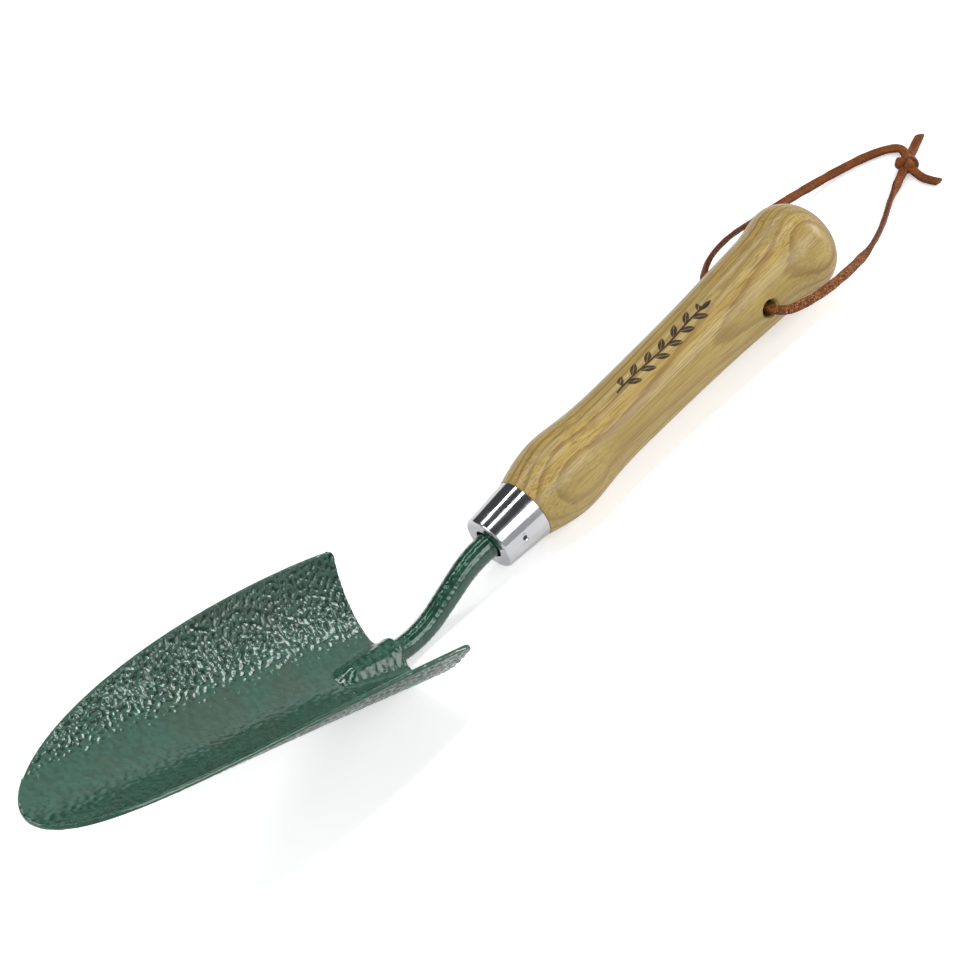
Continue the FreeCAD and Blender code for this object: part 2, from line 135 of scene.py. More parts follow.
class TangSettings(PropertyGroup):
    mouth_diameter: length_of("Mouth diameter", 0.0086, "Rod at the ferrule and in the handle")
    neck_diameter: length_of("Neck diameter", 0.0073, "Rod at the heel")
    nose_diameter: length_of("Nose diameter", 0.0034, "End of the taper under the blade")
    nose_length: length_of("Nose length", 0.016, "Length of the taper under the blade")
    under: length_of("Under", 0.00045, "Nose's underside below the middle of the sheet")
    shank_depth: length_of("Shank depth", 0.080, "Length inside the handle")
    shank_point: length_of("Shank point", 0.012, "Length of the shank's tapered end")
    neck_slope: angle_of("Neck slope", 20.8, "Slope of the neck's middle stretch")
    neck_start: length_of("Neck start", 0.009, "Upper bend's corner ahead of the mouth")
    upper_bend: length_of("Upper bend", 0.030, "Radius of the bend by the ferrule")
    lower_bend: length_of("Lower bend", 0.026, "Radius of the bend by the heel")
    groove_clearance: length_of("Groove clearance", 0.0002, "Gap between the nose and the pressed groove")
    groove_half_width: length_of("Groove half width", 0.0061, "Where the groove is a third of its height")
    groove_power: share_of("Groove power", 2.6, "2 would be a plain bell, more is flatter on top")
    groove_run_out: length_of("Groove run-out", 0.006, "Length over which the groove dies away")
    weld_radius: length_of("Weld radius", 0.0017, "Bead in the crease beside the nose")
    weld_spread: length_of("Weld spread", 0.0043, "Bead's distance from the middle")
    weld_start: length_of("Weld start", 0.001, "Bead's start ahead of the heel")
    weld_length: length_of("Weld length", 0.010, "Bead's length")


class FerruleSettings(PropertyGroup):
    length: length_of("Length", 0.0173, "Mouth to seam")
    mouth_diameter: length_of("Mouth diameter", 0.0192, "Outside at the mouth")
    rear_diameter: length_of("Rear diameter", 0.0218, "Outside at the seam")
    wall: length_of("Wall", 0.001, "Thickness")
    hole_diameter: length_of("Hole diameter", 0.0104, "Hole in the lip round the tang")
    mouth_round: length_of("Mouth round", 0.0012, "Rounding of the mouth's rim")
    brad_at: length_of("Brad at", 0.008, "Brad behind the mouth")
    brad_diameter: length_of("Brad diameter", 0.0015, "Brad's shank")
    brad_sunk: length_of("Brad sunk", 0.00035, "Brad's head below the surface")
    plating: colour_of("Plating", (0.64, 0.64, 0.66), "Polished plating")


class HandleSettings(PropertyGroup):
    shoulder_proud: length_of("Shoulder", 0.00015, "Wood proud of the ferrule at the seam")
    bulge: station_of("Bulge", 0.033, 0.01415)
    neck_in: station_of("Neck-in", 0.046, 0.0131)
    waist: station_of("Waist", 0.069, 0.01245)
    swell: station_of("Swell", 0.104, 0.0131)
    throat: station_of("Throat", 0.128, 0.0142)
    slope: station_of("Slope", 0.140, 0.01525)
    flare: station_of("Flare", 0.148, 0.0164)
    end: length_of("End", 0.1606, "End of the dome")
    bore_at: length_of("Bore at", 0.1221, "Thong bore behind the ferrule's mouth")
    bore_diameter: length_of("Bore diameter", 0.006, "Thong bore")
    bore_mouth: length_of("Bore mouth", 0.0076, "Thong bore at its worn mouths")
    bore_mouth_depth: length_of("Bore mouth depth", 0.0012, "Depth of the worn mouths")
    shank_fit: length_of("Shank fit", 0.00005, "Gap between the shank and its bore")
    spigot_gap: length_of("Spigot gap", 0.0005, "Gap between the spigot and the ferrule's lip")
    wood_pale: colour_of("Pale wood", (0.50, 0.360, 0.100), "Pale wood between the rings")
    wood_tan: colour_of("Tan wood", (0.225, 0.118, 0.025), "Tan lines of the rings")
    wood_deep: colour_of("Deep wood", (0.26, 0.14, 0.045), "Darkest streaks and pores")
    burnt: colour_of("Burnt mark", (0.026, 0.010, 0.004), "Scorched wood of the sprig")


class ThongSettings(PropertyGroup):
    width: length_of("Width", 0.0032, "Lace across its flat")
    thickness: length_of("Thickness", 0.0019, "Lace through")
    leather: colour_of("Leather", (0.205, 0.054, 0.005), "Reddish-brown leather")
    leather_pale: colour_of("Pale leather", (0.50, 0.26, 0.13), "Paler flecks of the flesh side")
    # This dark brown colours the cut edges, and as painted shade the creases.
    leather_dark_and_shade: colour_of("Dark leather", (0.085, 0.025, 0.012), "Creases and cut edges")


class StageSettings(PropertyGroup):
    camera_place: FloatVectorProperty(name="Camera", description="Camera's place", subtype="TRANSLATION",
                                      default=(-0.25832, -0.46489, 0.59863))
    camera_aim: FloatVectorProperty(name="Aim", description="What the camera looks at", subtype="TRANSLATION",
                                    default=(0.01807, 0.01589, 0.0200))
    camera_roll: angle_of("Roll", -20.02, "Camera's roll")
    lens: share_of("Lens", 94.62, "Focal length in millimetres on a 36 mm sensor")
    floor_colour: colour_of("Floor", (0.97, 0.97, 0.97), "Pale floor")
    floor_glow: share_of("Floor glow", 0.36, "Light added to the floor, which thins the shadow")


SETTINGS = {"blade": BladeSettings, "tang": TangSettings, "ferrule": FerruleSettings,
            "handle": HandleSettings, "thong": ThongSettings, "stage": StageSettings}


def settings(name):
    return getattr(bpy.context.scene, "trowel_" + name)


# ---------------------------------------------------------------- surfaces

def unit(vectors):
    """Each vector over its own length."""
    return vectors / np.linalg.norm(vectors, axis=-1, keepdims=True)


def dot(a, b):
    return np.sum(a * b, axis=-1, keepdims=True)


def in_row(points):
    """Carry points about the handle (X along it from the ferrule's mouth, Z up) to where the trowel lies:
    turned about Y by the resting tilt, with the bore's place on the axis brought to the hinge."""
    x, y, z = np.moveaxis(np.asarray(points, float), -1, 0)
    x = x - settings("handle").bore_at
    turned = np.stack([x * math.cos(TILT) - z * math.sin(TILT), y,
                       x * math.sin(TILT) + z * math.cos(TILT)], -1)
    return turned + np.array(HINGE["pos_m"])


def skin(rings, first=None, last=None, loop=False):
    """Points and faces of a closed skin. Ring follows ring in quads that wrap round, each end is drawn in
    to its own point by a fan, and a loop joins the last ring to the first. Faces are turned outwards, by
    the sign of the volume that they hold."""
    count, around = rings.shape[:2]
    rows = np.arange(count if loop else count - 1)[:, None] * around
    after = (rows + around) % (count * around)
    left = np.arange(around)[None, :]
    right = (left + 1) % around
    quads = np.stack([rows + left, rows + right, after + right, after + left], -1).reshape(-1, 4)
    points = rings.reshape(-1, 3)
    fans = []
    for end, base, flip in ((first, 0, True), (last, (count - 1) * around, False)):
        if end is not None:
            tip = np.full(around, len(points))
            fan = np.stack([base + left[0], base + right[0], tip], -1)
            fans.append(fan[:, ::-1] if flip else fan)
            points = np.vstack([points, np.asarray(end, float)[None]])
    triangles = np.vstack(fans) if fans else np.zeros((0, 3), int)
    halves = np.vstack([quads[:, [0, 1, 2]], quads[:, [0, 2, 3]], triangles])
    a, b, c = (points[halves[:, k]] - points.mean(0) for k in range(3))
    if np.sum(a * np.cross(b, c)) < 0:
        quads, triangles = quads[:, ::-1], triangles[:, ::-1]
    return points, quads, triangles


def mesh_of(name, points, quads, triangles):
    """A smooth-shaded mesh from whole arrays."""
    corners = np.concatenate([quads.ravel(), triangles.ravel()])
    sizes = np.concatenate([np.full(len(quads), 4), np.full(len(triangles), 3)])
    starts = np.concatenate([[0], np.cumsum(sizes)[:-1]])
    mesh = bpy.data.meshes.new(name)
    mesh.vertices.add(len(points))
    mesh.vertices.foreach_set("co", points.astype(np.float32).ravel())
    mesh.loops.add(len(corners))
    mesh.loops.foreach_set("vertex_index", corners.astype(np.int32))
    mesh.polygons.add(len(sizes))
    mesh.polygons.foreach_set("loop_start", starts.astype(np.int32))
    mesh.polygons.foreach_set("use_smooth", np.ones(len(sizes), bool))
    mesh.update(calc_edges=True)
    mesh.validate()
    return mesh


def mark_points(mesh, marks):
    """Store one number for each point under each name."""
    for name, values in marks.items():
        layer = mesh.attributes.new(name, "FLOAT", "POINT")
        layer.data.foreach_set("value", values.astype(np.float32))


def mark_lean(mesh):
    """Store how far each point of a painted piece faces sideways: the size of its normal's Y. The enamel
    darkens the walls by it as painted shade.
    """
    ways = np.empty(len(mesh.vertices) * 3, np.float32)
    mesh.vertex_normals.foreach_get("vector", ways)
    mark_points(mesh, {"lean": np.abs(ways[1::3])})


def add_piece(name, surface, material, body, slot, replaced=(), sharp=None, marks=None):
    """One finished piece: its mesh, material, body and the CAD nodes that it stands for. Its slot only tells
    whether it gets the lean mark.
    """
    mesh = surface if isinstance(surface, bpy.types.Mesh) else mesh_of(name, *surface)
    mark_points(mesh, marks or {})
    if slot == PAINT_SLOT:
        mark_lean(mesh)
    if sharp is not None:
        mesh.set_sharp_from_angle(angle=math.radians(sharp))
    mesh.materials.clear()
    mesh.materials.append(material)
    piece = bpy.data.objects.new(name, mesh)
    bpy.context.scene.collection.objects.link(piece)
    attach(piece, body)
    if replaced:
        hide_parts(*replaced)
    return piece


def round_angles(around):
    return np.linspace(0.0, 2.0 * np.pi, around, endpoint=False)


def set_along(points, centre, out, side):
    """Carry a piece turned about X to a centre, with its X along one way and its Y along another."""
    up = np.cross(out, side)
    return centre + points[..., :1] * out + points[..., 1:2] * side + points[..., 2:] * up


def turned(outline, around):
    """Rings of a turned piece: each (place, radius) of the outline swung round the X axis."""
    angle = round_angles(around)
    place, radius = outline[:, 0, None], outline[:, 1, None]
    return np.stack([np.broadcast_to(place, (len(outline), around)),
                     radius * np.cos(angle), radius * np.sin(angle)], -1)


def spaced(line, count):
    """A line's points, straight between the given ones, respaced evenly along it, and their distances."""
    run = np.concatenate([[0.0], np.cumsum(np.linalg.norm(np.diff(line, axis=0), axis=1))])
    even = np.linspace(0.0, run[-1], count)
    return np.stack([np.interp(even, run, line[:, k]) for k in range(3)], -1), even


def bent_path(corners, radii, count):
    """Straight runs joined by tangent arcs, evenly spaced. An arc's arm turns from one run's end to the
    next run's start, which is a weighted sum of its two end arms by the sines of the angles left."""
    line = [corners[0][None]]
    for before, corner, after, radius in zip(corners, corners[1:], corners[2:], radii):
        back, ahead = unit(before - corner), unit(after - corner)
        turn = math.pi - math.acos(float(back @ ahead))
        setback = radius * math.tan(turn / 2.0)
        centre = corner + unit(back + ahead) * radius / math.cos(turn / 2.0)
        arms = [corner + back * setback - centre, corner + ahead * setback - centre]
        share = np.linspace(0.0, turn, 40)[:, None]
        line.append(centre + (np.sin(turn - share) * arms[0] + np.sin(share) * arms[1]) / math.sin(turn))
    line.append(corners[-1][None])
    return spaced(np.vstack(line), count)


def smooth_curve(stations, first_way, last_way, per_span):
    """The smoothest curve through stations, leaving and arriving in given directions: a cubic on each
    span, its slopes solved so that bending runs on unbroken, over chord lengths."""
    stations = np.asarray(stations, float)
    chord = np.linalg.norm(np.diff(stations, axis=0), axis=1)
    count = len(stations)
    system, wanted = np.zeros((count, count)), np.zeros_like(stations)
    system[0, 0] = system[-1, -1] = 1.0
    wanted[0], wanted[-1] = unit(np.array(first_way, float)), unit(np.array(last_way, float))
    for k in range(1, count - 1):
        before, after = chord[k - 1], chord[k]
        system[k, k - 1:k + 2] = after, 2.0 * (before + after), before
        wanted[k] = 3.0 * (after * (stations[k] - stations[k - 1]) / before
                           + before * (stations[k + 1] - stations[k]) / after)
    slope = np.linalg.solve(system, wanted)
    t = np.linspace(0.0, 1.0, per_span, endpoint=False)[None, :, None]
    start, end = stations[:-1, None], stations[1:, None]
    leave, arrive = slope[:-1, None] * chord[:, None, None], slope[1:, None] * chord[:, None, None]
    curve = (start * (2 * t ** 3 - 3 * t ** 2 + 1) + leave * (t ** 3 - 2 * t ** 2 + t)
             + end * (-2 * t ** 3 + 3 * t ** 2) + arrive * (t ** 3 - t ** 2))
    return np.vstack([curve.reshape(-1, stations.shape[1]), stations[-1:]])


WAVES = 40


def squeezed(total):
    """Added waves squeezed to between -1 and 1, which leaves broad bumps between narrow valleys."""
    return np.tanh(1.2 * total / math.sqrt(WAVES / 2.0))


def hammered(u, v, size, seed):
    """Hammered paint from -1 to 1: waves of about one pitch running every way, added, then squeezed."""
    rng = np.random.default_rng(seed)
    total = np.zeros(np.broadcast(u, v).shape)
    for _ in range(WAVES):
        way, start = rng.uniform(0.0, 2.0 * np.pi, 2)
        pitch = size * rng.uniform(0.7, 1.5)
        total += np.sin((u * np.cos(way) + v * np.sin(way)) * 2.0 * np.pi / pitch + start)
    return squeezed(total)


# ---------------------------------------------------------------- blade

def half_girth(b, x):
    """Half of the blade's width along the sheet: a superellipse of the distance from the heel."""
    return b.rear_half_girth * np.sqrt(np.clip(1.0 - (x / b.length) ** b.outline_power, 0.0, None))


def outline_x(b, girth):
    """Distance from the heel at which the blade's half width is girth."""
    return b.length * (1.0 - (girth / b.rear_half_girth) ** 2) ** (1.0 / b.outline_power)


def nose_radius(t, x):
    """Radius of the tang's nose: it falls evenly from the neck's to the nose's end."""
    share = np.clip(x / t.nose_length, 0.0, 1.0)
    return (t.neck_diameter + (t.nose_diameter - t.neck_diameter) * share) / 2.0


def groove_height(b, t, x, y):
    """Height of the groove pressed over the nose: a flat-topped bell across, its crown following the nose."""
    radius = nose_radius(t, x)
    crown = 2.0 * radius - t.under + t.groove_clearance + b.sheet / 2.0
    width = t.groove_half_width * (radius / nose_radius(t, 0.0)) ** 0.7
    past = np.clip((x - t.nose_length) / t.groove_run_out, 0.0, 1.0)
    fade = 1.0 - past * past * (3.0 - 2.0 * past)
    return crown * fade * np.exp(-(np.abs(y) / width) ** t.groove_power)


def bell_sum(x):
    """The bell curve added up from 0 to x, scaled to reach 1: the error function, from a fine table."""
    steps = np.linspace(0.0, 4.0, 4001)
    bell = np.exp(-steps ** 2) * 2.0 / math.sqrt(math.pi)
    total = np.concatenate([[0.0], np.cumsum((bell[1:] + bell[:-1]) / 2.0 * np.diff(steps))])
    return np.interp(x, steps, total)


def blade_to_handle(b, points):
    """Carry the blade's frame (X to the tip, Z up from the heel) to the handle's: turned round, tilted."""
    x, y, z = np.moveaxis(points, -1, 0)
    return np.stack([-b.heel_back - x * math.cos(b.tilt) + z * math.sin(b.tilt), y,
                     -b.heel_drop + x * math.sin(b.tilt) + z * math.cos(b.tilt)], -1)


def channel(b, t, x, girth):
    """Middle of the sheet. Its slope across is curvature added up, the curvature falling as a bell from
    the floor's to the walls', and its section is that slope's cosine and sine added up by Simpson's rule."""
    along = x / b.length
    floor = b.floor_radius_rear + (b.floor_radius_tip - b.floor_radius_rear) * along
    extra = (1.0 / floor - 1.0 / b.wall_radius) * math.sqrt(math.pi) / 2.0 * b.floor_spread
    size = np.abs(girth)
    y, z, steps = np.zeros_like(x), np.zeros_like(x), 16
    for i in range(steps + 1):
        part = size * i / steps
        slope = part / b.wall_radius + extra * bell_sum(part / b.floor_spread)
        weight = 1.0 if i in (0, steps) else (4.0 if i % 2 else 2.0)
        y = y + weight * np.cos(slope) * size / steps / 3.0
        z = z + weight * np.sin(slope) * size / steps / 3.0
    y = y * np.sign(girth)
    z = z - b.tip_drop * along ** 2 + groove_height(b, t, x, y)
    return blade_to_handle(b, np.stack([x, y, z], -1))


def blade_surface(b, t, rows=268, columns=165, turns=4):
    """The painted sheet as one closed skin. Each cross line is a ring: over the hollow face, round one
    rim, back under and round the other. Past both ends the rings close up as a quarter circle does, so
    the cut edge is rounded all the way. The paint's bumps stand on both faces, lower along the floor,
    where the wet paint levelled out. Their height at each point, as a share of the setting, comes with
    the rings."""
    edge_calm, floor_rough, wall_rough = 0.0012, 0.40, 1.15
    floor_half_width, change_width = 0.009, 0.014
    bulge_share = 0.2
    reach = outline_x(b, b.tip_half_girth)
    q = np.linspace(0.0, 1.0, rows)[:, None]
    p = np.linspace(-1.0, 1.0, columns)[None, :]
    bow = outline_x(b, b.tip_half_girth * np.abs(p)) - reach
    girth = p * half_girth(b, reach * q)
    over = np.clip(np.abs(p) * b.rear_half_girth - (b.rear_half_girth - b.corner_round), 0.0, None)
    corner = b.corner_round - np.sqrt(np.clip(b.corner_round ** 2 - over ** 2, 0.0, None))
    x = reach * q + bow * q ** 4 + corner * (1.0 - q) ** 24
    middle = channel(b, t, x, girth)
    ahead, across = np.gradient(middle, axis=0), np.gradient(middle, axis=1)
    normal = unit(np.cross(across, ahead))
    outward = unit(np.cross(unit(across), normal))
    side = unit(across[:, [0, -1]] * np.array([-1.0, 1.0])[None, :, None])
    calm = np.clip(half_girth(b, reach * q) * (1.0 - np.abs(p)) / edge_calm, 0.0, 1.0)
    rough = floor_rough + wall_rough * np.clip((np.abs(girth) - floor_half_width) / change_width, 0.0, 1.0)
    bumps = [b.hammer_height * calm * rough * hammered(x, girth, b.hammer_size, seed) for seed in (11, 12)]
    angles = np.linspace(0.0, np.pi / 2.0, turns)[1:]
    index = np.concatenate([np.zeros(turns - 1, int), np.arange(rows), np.full(turns - 1, rows - 1)])
    close = np.concatenate([angles[::-1], np.zeros(rows), angles])
    push = np.concatenate([np.sin(angles[::-1]), np.zeros(rows), -np.sin(angles)])[:, None, None]
    thin = np.cos(close)[:, None]
    rim_bulge = bulge_share * b.sheet
    centre = middle[index] + outward[index] * push * rim_bulge
    half = b.sheet / 2.0
    top = centre + normal[index] * ((half + bumps[0][index]) * thin)[..., None]
    under = centre - normal[index] * ((half + bumps[1][index]) * thin)[..., None]
    rims = []
    for column, way in ((-1, 1), (0, -1)):
        lean = np.linspace(0.0, np.pi, turns + 2)[1:-1][None, :, None] * np.ones((len(index), 1, 1))
        lean = lean if way > 0 else np.pi - lean
        edge = centre[:, column][:, None]
        rims.append(edge + normal[index][:, column][:, None] * half * thin[:, :, None] * np.cos(lean)
                    + side[index][:, column][:, None] * rim_bulge * thin[:, :, None] * np.sin(lean))
    none = np.zeros((len(index), turns))
    paint = np.concatenate([bumps[0][index], none, bumps[1][index][:, ::-1], none], axis=1) / b.hammer_height
    return np.concatenate([top, rims[0], under[:, ::-1], rims[1]], axis=1), paint


def seal(name, points, quads, triangles, paint):
    """The mesh with points that lie on each other made one, which closes its folded ends. The height of
    its paint's bumps stays with it."""
    mesh = mesh_of(name, points, quads, triangles)
    mark_points(mesh, {"paint_height": paint.ravel()})
    work = bmesh.new()
    work.from_mesh(mesh)
    touching = 2e-6
    bmesh.ops.remove_doubles(work, verts=work.verts, dist=touching)
    bmesh.ops.recalc_face_normals(work, faces=work.faces)
    work.to_mesh(mesh)
    work.free()
    return mesh


# ---------------------------------------------------------------- tang

def neck_corners(b, t):
    """Corners of the tang's bent line about the handle: nose end, lower bend, upper bend, shank end."""
    def under_blade(x):
        place = np.array([x, 0.0, float(nose_radius(t, x)) - t.under])
        return blade_to_handle(b, place)
    nose_back, nose_tip = under_blade(0.0), under_blade(t.nose_length)
    way = unit(nose_tip - nose_back)
    slope = math.tan(t.neck_slope)
    upper = np.array([-t.neck_start, 0.0, 0.0])
    reach = (nose_back[2] - slope * (nose_back[0] - upper[0])) / (way[2] - slope * way[0])
    return [nose_tip, nose_back - way * reach, upper, np.array([t.shank_depth, 0.0, 0.0])]


def tang_rings(b, t, count=420, around=56):
    """Circles set along the tang's bent line: the nose tapers, the neck grows as the square of the way
    along it, and the shank ends in a point. The paint's bumps stand on it up to the ferrule."""
    path, run = bent_path(neck_corners(b, t), [t.lower_bend, t.upper_bend], count)
    neck = np.clip((run - t.nose_length) / (run[-1] - t.shank_depth - t.nose_length), 0.0, 1.0)
    radius = (t.neck_diameter + (t.mouth_diameter - t.neck_diameter) * neck ** 2) / 2.0
    radius = np.where(run < t.nose_length, nose_radius(t, t.nose_length - run), radius)
    left = np.clip((run[-1] - run) / t.shank_point, 0.0, 1.0)
    blunt = 0.35
    radius = radius * (blunt + (1.0 - blunt) * left)
    ahead = unit(np.gradient(path, axis=0))
    side = np.broadcast_to(np.array([0.0, 1.0, 0.0]), path.shape)
    up = np.cross(ahead, side)
    angle = round_angles(around)[None, :]
    girth = 2.0 * np.pi * t.neck_diameter / 2.0
    finer, lower, fade_length = 0.75, 0.45, 0.004
    bumps = hammered_round(run[:, None], angle, girth, b.hammer_size * finer, 21)
    fade = np.clip((run[-1] - t.shank_depth - run) / fade_length, 0.0, 1.0)[:, None]
    radius = radius[:, None] + b.hammer_height * lower * bumps * fade
    ring = np.cos(angle)[..., None] * side[:, None] + np.sin(angle)[..., None] * up[:, None]
    rings = path[:, None] + radius[..., None] * ring
    return in_row(rings), in_row(path[0]), in_row(path[-1])


def hammered_round(run, angle, girth, size, seed):
    """Hammered paint on a rod: as on a flat face, but each wave fits a whole number of times round."""
    rng = np.random.default_rng(seed)
    total = np.zeros(np.broadcast(run, angle).shape)
    most = int(girth / (size * 0.7))
    for _ in range(WAVES):
        times = rng.integers(-most, most + 1)
        across = times / girth
        along = math.sqrt(max((1.0 / (size * rng.uniform(0.7, 1.4))) ** 2 - across ** 2, 0.0))
        total += np.sin(2.0 * np.pi * along * run + times * angle + rng.uniform(0.0, 2.0 * np.pi))
    return squeezed(total)


def weld_rings(b, t, side, count=60, around=24):
    """A bead in the crease beside the nose: a round rod with even ripples, drawn in at its ends as an
    ellipse is, its line closing on the nose."""
    share = np.linspace(0.0, 1.0, count)
    x = t.weld_start + t.weld_length * share
    closing, height, fall = 0.28, 0.0006, 0.0002
    ripple_height, ripple_pitch = 0.06, 0.0016
    spread = t.weld_spread * (1.0 - closing * share)
    line = np.stack([x, side * spread, height - fall * share], -1)
    ends = np.sqrt(np.clip(1.0 - (2.0 * share - 1.0) ** 8, 0.0, 1.0))
    radius = t.weld_radius * ends * (1.0 + ripple_height * np.sin(2.0 * np.pi * x / ripple_pitch))
    angle = round_angles(around)
    ring = np.stack([np.zeros(around), np.cos(angle), np.sin(angle)], -1)
    rings = line[:, None] + radius[:, None, None] * ring[None]
    return (in_row(blade_to_handle(b, rings)), in_row(blade_to_handle(b, line[0])),
            in_row(blade_to_handle(b, line[-1])))


# ---------------------------------------------------------------- ferrule and handle

def ferrule_radius(f, x):
    return (f.mouth_diameter + (f.rear_diameter - f.mouth_diameter) * x / f.length) / 2.0


def arc(centre, radius, start, end, count):
    """Points on a circle between two angles in degrees, as (place, radius) pairs."""
    angle = np.radians(np.linspace(start, end, count))[:, None]
    return np.array(centre) + radius * np.hstack([np.cos(angle), np.sin(angle)])


def ferrule_outline(f):
    """The cup's closed section: lip, rounded rim, outer cone, rolled seam edge, inner cone, lip's inside."""
    hole, round_off, small = f.hole_diameter / 2.0, f.mouth_round, 0.0003
    rim_proud, dish_depth, lip_chamfer = 0.00008, 0.00012, 0.0004
    front = ferrule_radius(f, 0.0)
    rim = arc((round_off, front - round_off + rim_proud), round_off, 180.0, 96.0, 14)
    cone_x = np.linspace(round_off * 1.15, f.length - small, 96)
    cone = np.stack([cone_x, ferrule_radius(f, cone_x)], -1)
    seam = arc((f.length - small, ferrule_radius(f, f.length) - small), small, 80.0, 0.0, 6)
    inner_rear = [(f.length, ferrule_radius(f, f.length) - f.wall)]
    inner_front = [(f.wall, ferrule_radius(f, f.wall) - f.wall)]
    lip_back = [(f.wall, hole + lip_chamfer)]
    curl = arc((f.wall / 2.0, hole + f.wall / 2.0), f.wall / 2.0, 0.0, -180.0, 12)
    face_y = np.linspace(hole + f.wall / 2.0, front - round_off, 14)[1:-1]
    dish = dish_depth * np.sin(np.pi * (face_y - hole) / (front - hole))
    face = np.stack([dish, face_y], -1)
    return np.vstack([curl, face, rim, cone, seam, inner_rear, inner_front, lip_back])


def brad_way():
    """The way out along the brad in the handle's own frame, which is the bore's direction there."""
    return np.array([0.0, BORE_WAY[1], math.hypot(BORE_WAY[0], BORE_WAY[2])])


def brad_dimple(f, points):
    """Depth of the dimple that the brad's head pulls in the plating: a flat-topped bell of the distance
    from the brad's place on the cup, with a faint raised ring round it."""
    head = np.array([f.brad_at, 0.0, 0.0]) + brad_way() * ferrule_radius(f, f.brad_at)
    away = np.linalg.norm(points - head, axis=-1)
    spread, deeper = f.brad_diameter * 0.62, 1.5
    ring_height, ring_radius, ring_width = 0.00007, 0.0014, 0.0004
    hollow = f.brad_sunk * deeper * np.exp(-(away / spread) ** 4)
    return hollow - ring_height * np.exp(-((away - ring_radius) / ring_width) ** 2)


def ferrule_rings(f, around=288):
    rings = turned(ferrule_outline(f), around)
    outside = np.linalg.norm(rings[..., 1:], axis=-1, keepdims=True)
    inward = np.concatenate([np.zeros_like(outside), -rings[..., 1:] / outside], -1)
    return in_row(rings + inward * brad_dimple(f, rings)[..., None])


def brad_rings(f, around=40):
    """The brad's head, a low dome on a short rod, turned about the bore's direction."""
    radius, dome, depth = f.brad_diameter / 2.0, 0.00022, 0.003
    top = arc((0.0, 0.0), 1.0, 4.0, 90.0, 12) * [dome, radius]
    outline = np.vstack([top, [[-0.0002, radius], [-depth, radius * 0.9]]])
    along = np.array([1.0, 0.0, 0.0])
    centre = along * f.brad_at + brad_way() * (ferrule_radius(f, f.brad_at) - f.brad_sunk)
    return [in_row(set_along(points, centre, brad_way(), along))
            for points in (turned(outline, around), along * dome, along * -depth)]


def handle_outline(h, f, t):
    """The turned section from the shank bore's end, out over the spigot and the shoulder, along the grip
    to the dome's pole: one smooth curve through the stations, then an ellipse."""
    shoulder = ferrule_radius(f, f.length) + h.shoulder_proud
    stations = [(f.length, shoulder), h.bulge, h.neck_in, h.waist, h.swell, h.throat, h.slope, h.flare]
    dome = h.end - h.flare[0]
    for degrees in (30.0, 55.0, 75.0, 90.0):
        angle = math.radians(degrees)
        stations.append((h.flare[0] + dome * math.sin(angle), h.flare[1] * math.cos(angle)))
    grip = smooth_curve([tuple(s) for s in stations], (1.0, 0.30), (0.0, -1.0), 26)
    front = f.wall + h.spigot_gap
    bore = t.mouth_diameter / 2.0 + h.shank_fit
    fit = f.wall + h.shank_fit
    past_shank, step_back, corner, edge_cut = 0.002, 0.0002, 0.0004, 0.0003
    seam = f.length - step_back
    spigot = [(t.shank_depth + past_shank, bore), (front, bore), (front, ferrule_radius(f, front) - fit),
              (seam, ferrule_radius(f, f.length) - fit), (seam, shoulder - corner),
              (f.length, shoulder - edge_cut)]
    return np.vstack([spigot, grip])


def bore_rings(h, around=72):
    """The cutter for the thong bore: a rod whose radius opens at both mouths as a worn edge does."""
    wall = float(np.interp(h.bore_at, [h.swell[0], h.throat[0]], [h.swell[1], h.throat[1]]))
    past_wall, opening_power = 1.5, 1.6
    reach = wall * past_wall
    along = np.linspace(-reach, reach, 160)
    flare = (h.bore_mouth - h.bore_diameter) / 2.0
    opening = np.clip((np.abs(along) - (wall - h.bore_mouth_depth)) / h.bore_mouth_depth, 0.0, 3.0)
    outline = np.stack([along, h.bore_diameter / 2.0 + flare * opening ** opening_power], -1)
    side = np.array([math.cos(TILT), 0.0, math.sin(TILT)])
    centre = np.array(HINGE["pos_m"])
    rings = set_along(turned(outline, around), centre, BORE_WAY, side)
    return rings, centre - BORE_WAY * reach, centre + BORE_WAY * reach


def handle_mesh(h, f, t, around=160):
    """The turned handle with the thong bore cut through it."""
    outline = handle_outline(h, f, t)
    rings = in_row(turned(outline[:-1], around))
    deep = in_row(np.array([outline[0, 0], 0.0, 0.0]))
    pole = in_row(np.array([outline[-1, 0], 0.0, 0.0]))
    body = bpy.data.objects.new("handle_blank", mesh_of("handle_blank", *skin(rings, deep, pole)))
    tool = bpy.data.objects.new("bore_tool", mesh_of("bore_tool", *skin(*bore_rings(h))))
    for each in (body, tool):
        bpy.context.scene.collection.objects.link(each)
    cut = body.modifiers.new("thong bore", "BOOLEAN")
    cut.operation, cut.solver, cut.object = "DIFFERENCE", "EXACT", tool
    graph = bpy.context.evaluated_depsgraph_get()
    mesh = bpy.data.meshes.new_from_object(body.evaluated_get(graph))
    for each in (body, tool):
        bpy.data.objects.remove(each)
    mesh.polygons.foreach_set("use_smooth", np.ones(len(mesh.polygons), bool))
    return mesh


# ---------------------------------------------------------------- thong

# The lace's girth over its width, and the pitch of its grain in metres
GIRTH_SHARE, GRAIN_PITCH = 2.6, 0.0011


